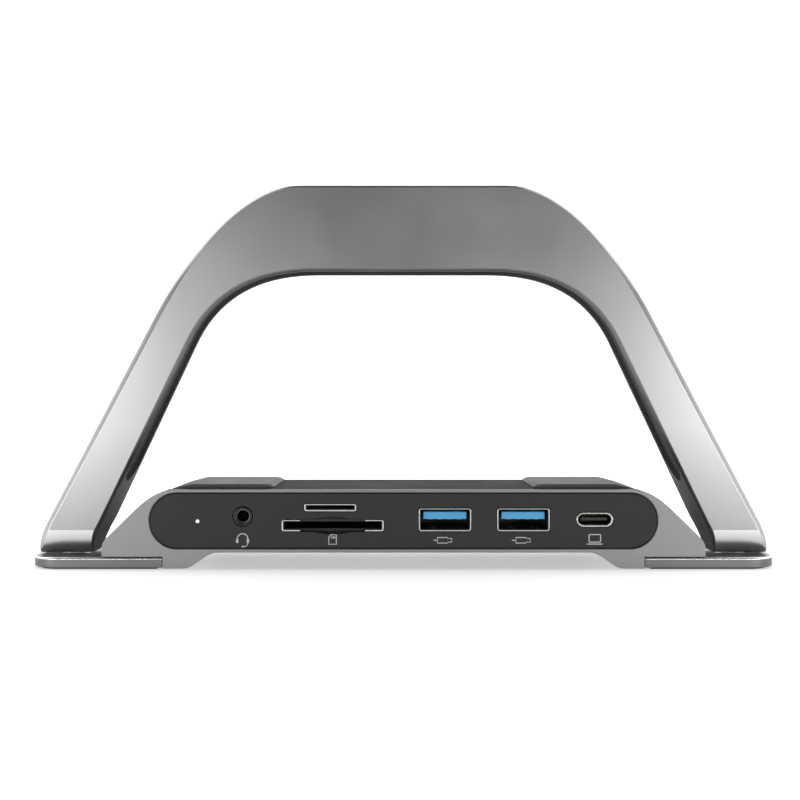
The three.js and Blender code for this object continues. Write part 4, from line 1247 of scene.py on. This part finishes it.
build_arch()
for side_name, side_sign in SIDES:
    build_hinge(side_name, side_sign)
build_frame()
build_plate()
build_casing()
build_pads()
build_front_panel()
build_rear_panel()
for number, place_x in enumerate(USB_A_X):
    build_usb_a(number + 1, place_x)
build_usb_c("usb_c_host", USB_C_HOST_X, PANEL_FRONT, 1)
build_usb_c("usb_c_power", USB_C_POWER_X, REAR_BACK, -1)
build_card_slots()
build_jack()
build_light()
build_video()
build_network()
build_pictograms()

kept = {
    "circuit_board": board, "card_reader_board": board, "hub_controller_chip": chip_epoxy,
    "video_controller_chip": chip_epoxy, "thermal_pad": grey_rubber, "heat_spreader": satin_dark,
}
for node_name, look in kept.items():
    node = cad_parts[node_name]
    node.data.materials.clear()
    node.data.materials.append(look)

# ---------- floor, light and camera ----------

def stage_material():
    material, tree, shader, source = node_tree("studio_paper")
    shade = noise(tree, source, 4.0)
    tree.links.new(blend_colors(tree, shade, (0.90, 0.90, 0.90), (0.93, 0.93, 0.93)),
                   shader.inputs["Base Color"])
    put(shader, {"Roughness": 0.9, "Specular IOR Level": 0.1, "Emission Color": (1, 1, 1, 1),
                 "Emission Strength": 0.45})
    return material


def build_floor():
    """A sheet of pale paper that turns up behind the object."""
    profile = [(-1.6, 0.0), (0.9, 0.0)]
    profile += [(0.9 + 0.5 * sin(radians(a)), 0.5 - 0.5 * cos(radians(a)))
                for a in range(6, 91, 6)]
    profile.append((1.4, 2.2))
    mesh = bpy.data.meshes.new("paper_sweep")
    points = [(x, y, z) for y, z in profile for x in (-2.4, 2.4)]
    faces = [(2 * i, 2 * i + 1, 2 * i + 3, 2 * i + 2) for i in range(len(profile) - 1)]
    mesh.from_pydata(points, [], faces)
    mesh.update()
    for polygon in mesh.polygons:
        polygon.use_smooth = True
    paper = new_object("paper_sweep", mesh)
    paper.data.materials.append(stage_material())


def area_light(name, position, target, width, height, power):
    data = bpy.data.lights.new(name, "AREA")
    data.shape = "RECTANGLE"
    data.size = width
    data.size_y = height
    data.energy = power
    light = new_object(name, data)
    light.location = position
    direction = Vector(target) - Vector(position)
    light.rotation_euler = direction.to_track_quat("-Z", "Y").to_euler()


def build_studio():
    build_floor()
    for side in (-1, 1):
        area_light("overhead", (side * 1.0, 0.15, 1.05), (0, 0.1, 0), 0.9, 1.4, 8)
        area_light("front_card", (side * 0.62, -0.85, 0.08), (0, 0, 0.05), 0.72, 0.15, 2.6)
        area_light("side_card", (side * 1.0, -0.05, 0.2), (0, 0, 0.05), 1.0, 0.6, 2.4)
    area_light("backdrop", (0, 0.35, 0.9), (0, 1.35, 0.4), 2.2, 0.5, 14)
    world = bpy.data.worlds.new("studio")
    world.use_nodes = True
    put(world.node_tree.nodes["Background"], {"Color": (1, 1, 1, 1), "Strength": 0.08})
    bpy.context.scene.world = world
    bpy.context.scene.view_settings.view_transform = "Standard"


CAMERA_PLACE = (-0.00088, -0.331, 0.0427)
CAMERA_LENS = 53.7
CAMERA_SENSOR = 36


def build_camera():
    data = bpy.data.cameras.new("camera")
    data.lens = CAMERA_LENS
    data.sensor_width = CAMERA_SENSOR
    camera = new_object("camera", data)
    camera.location = CAMERA_PLACE
    camera.rotation_euler = (radians(90), 0, 0)
    bpy.context.scene.camera = camera


build_studio()
build_camera()


def plain(bounds):
    return [[float(value) for value in corner] for corner in bounds]
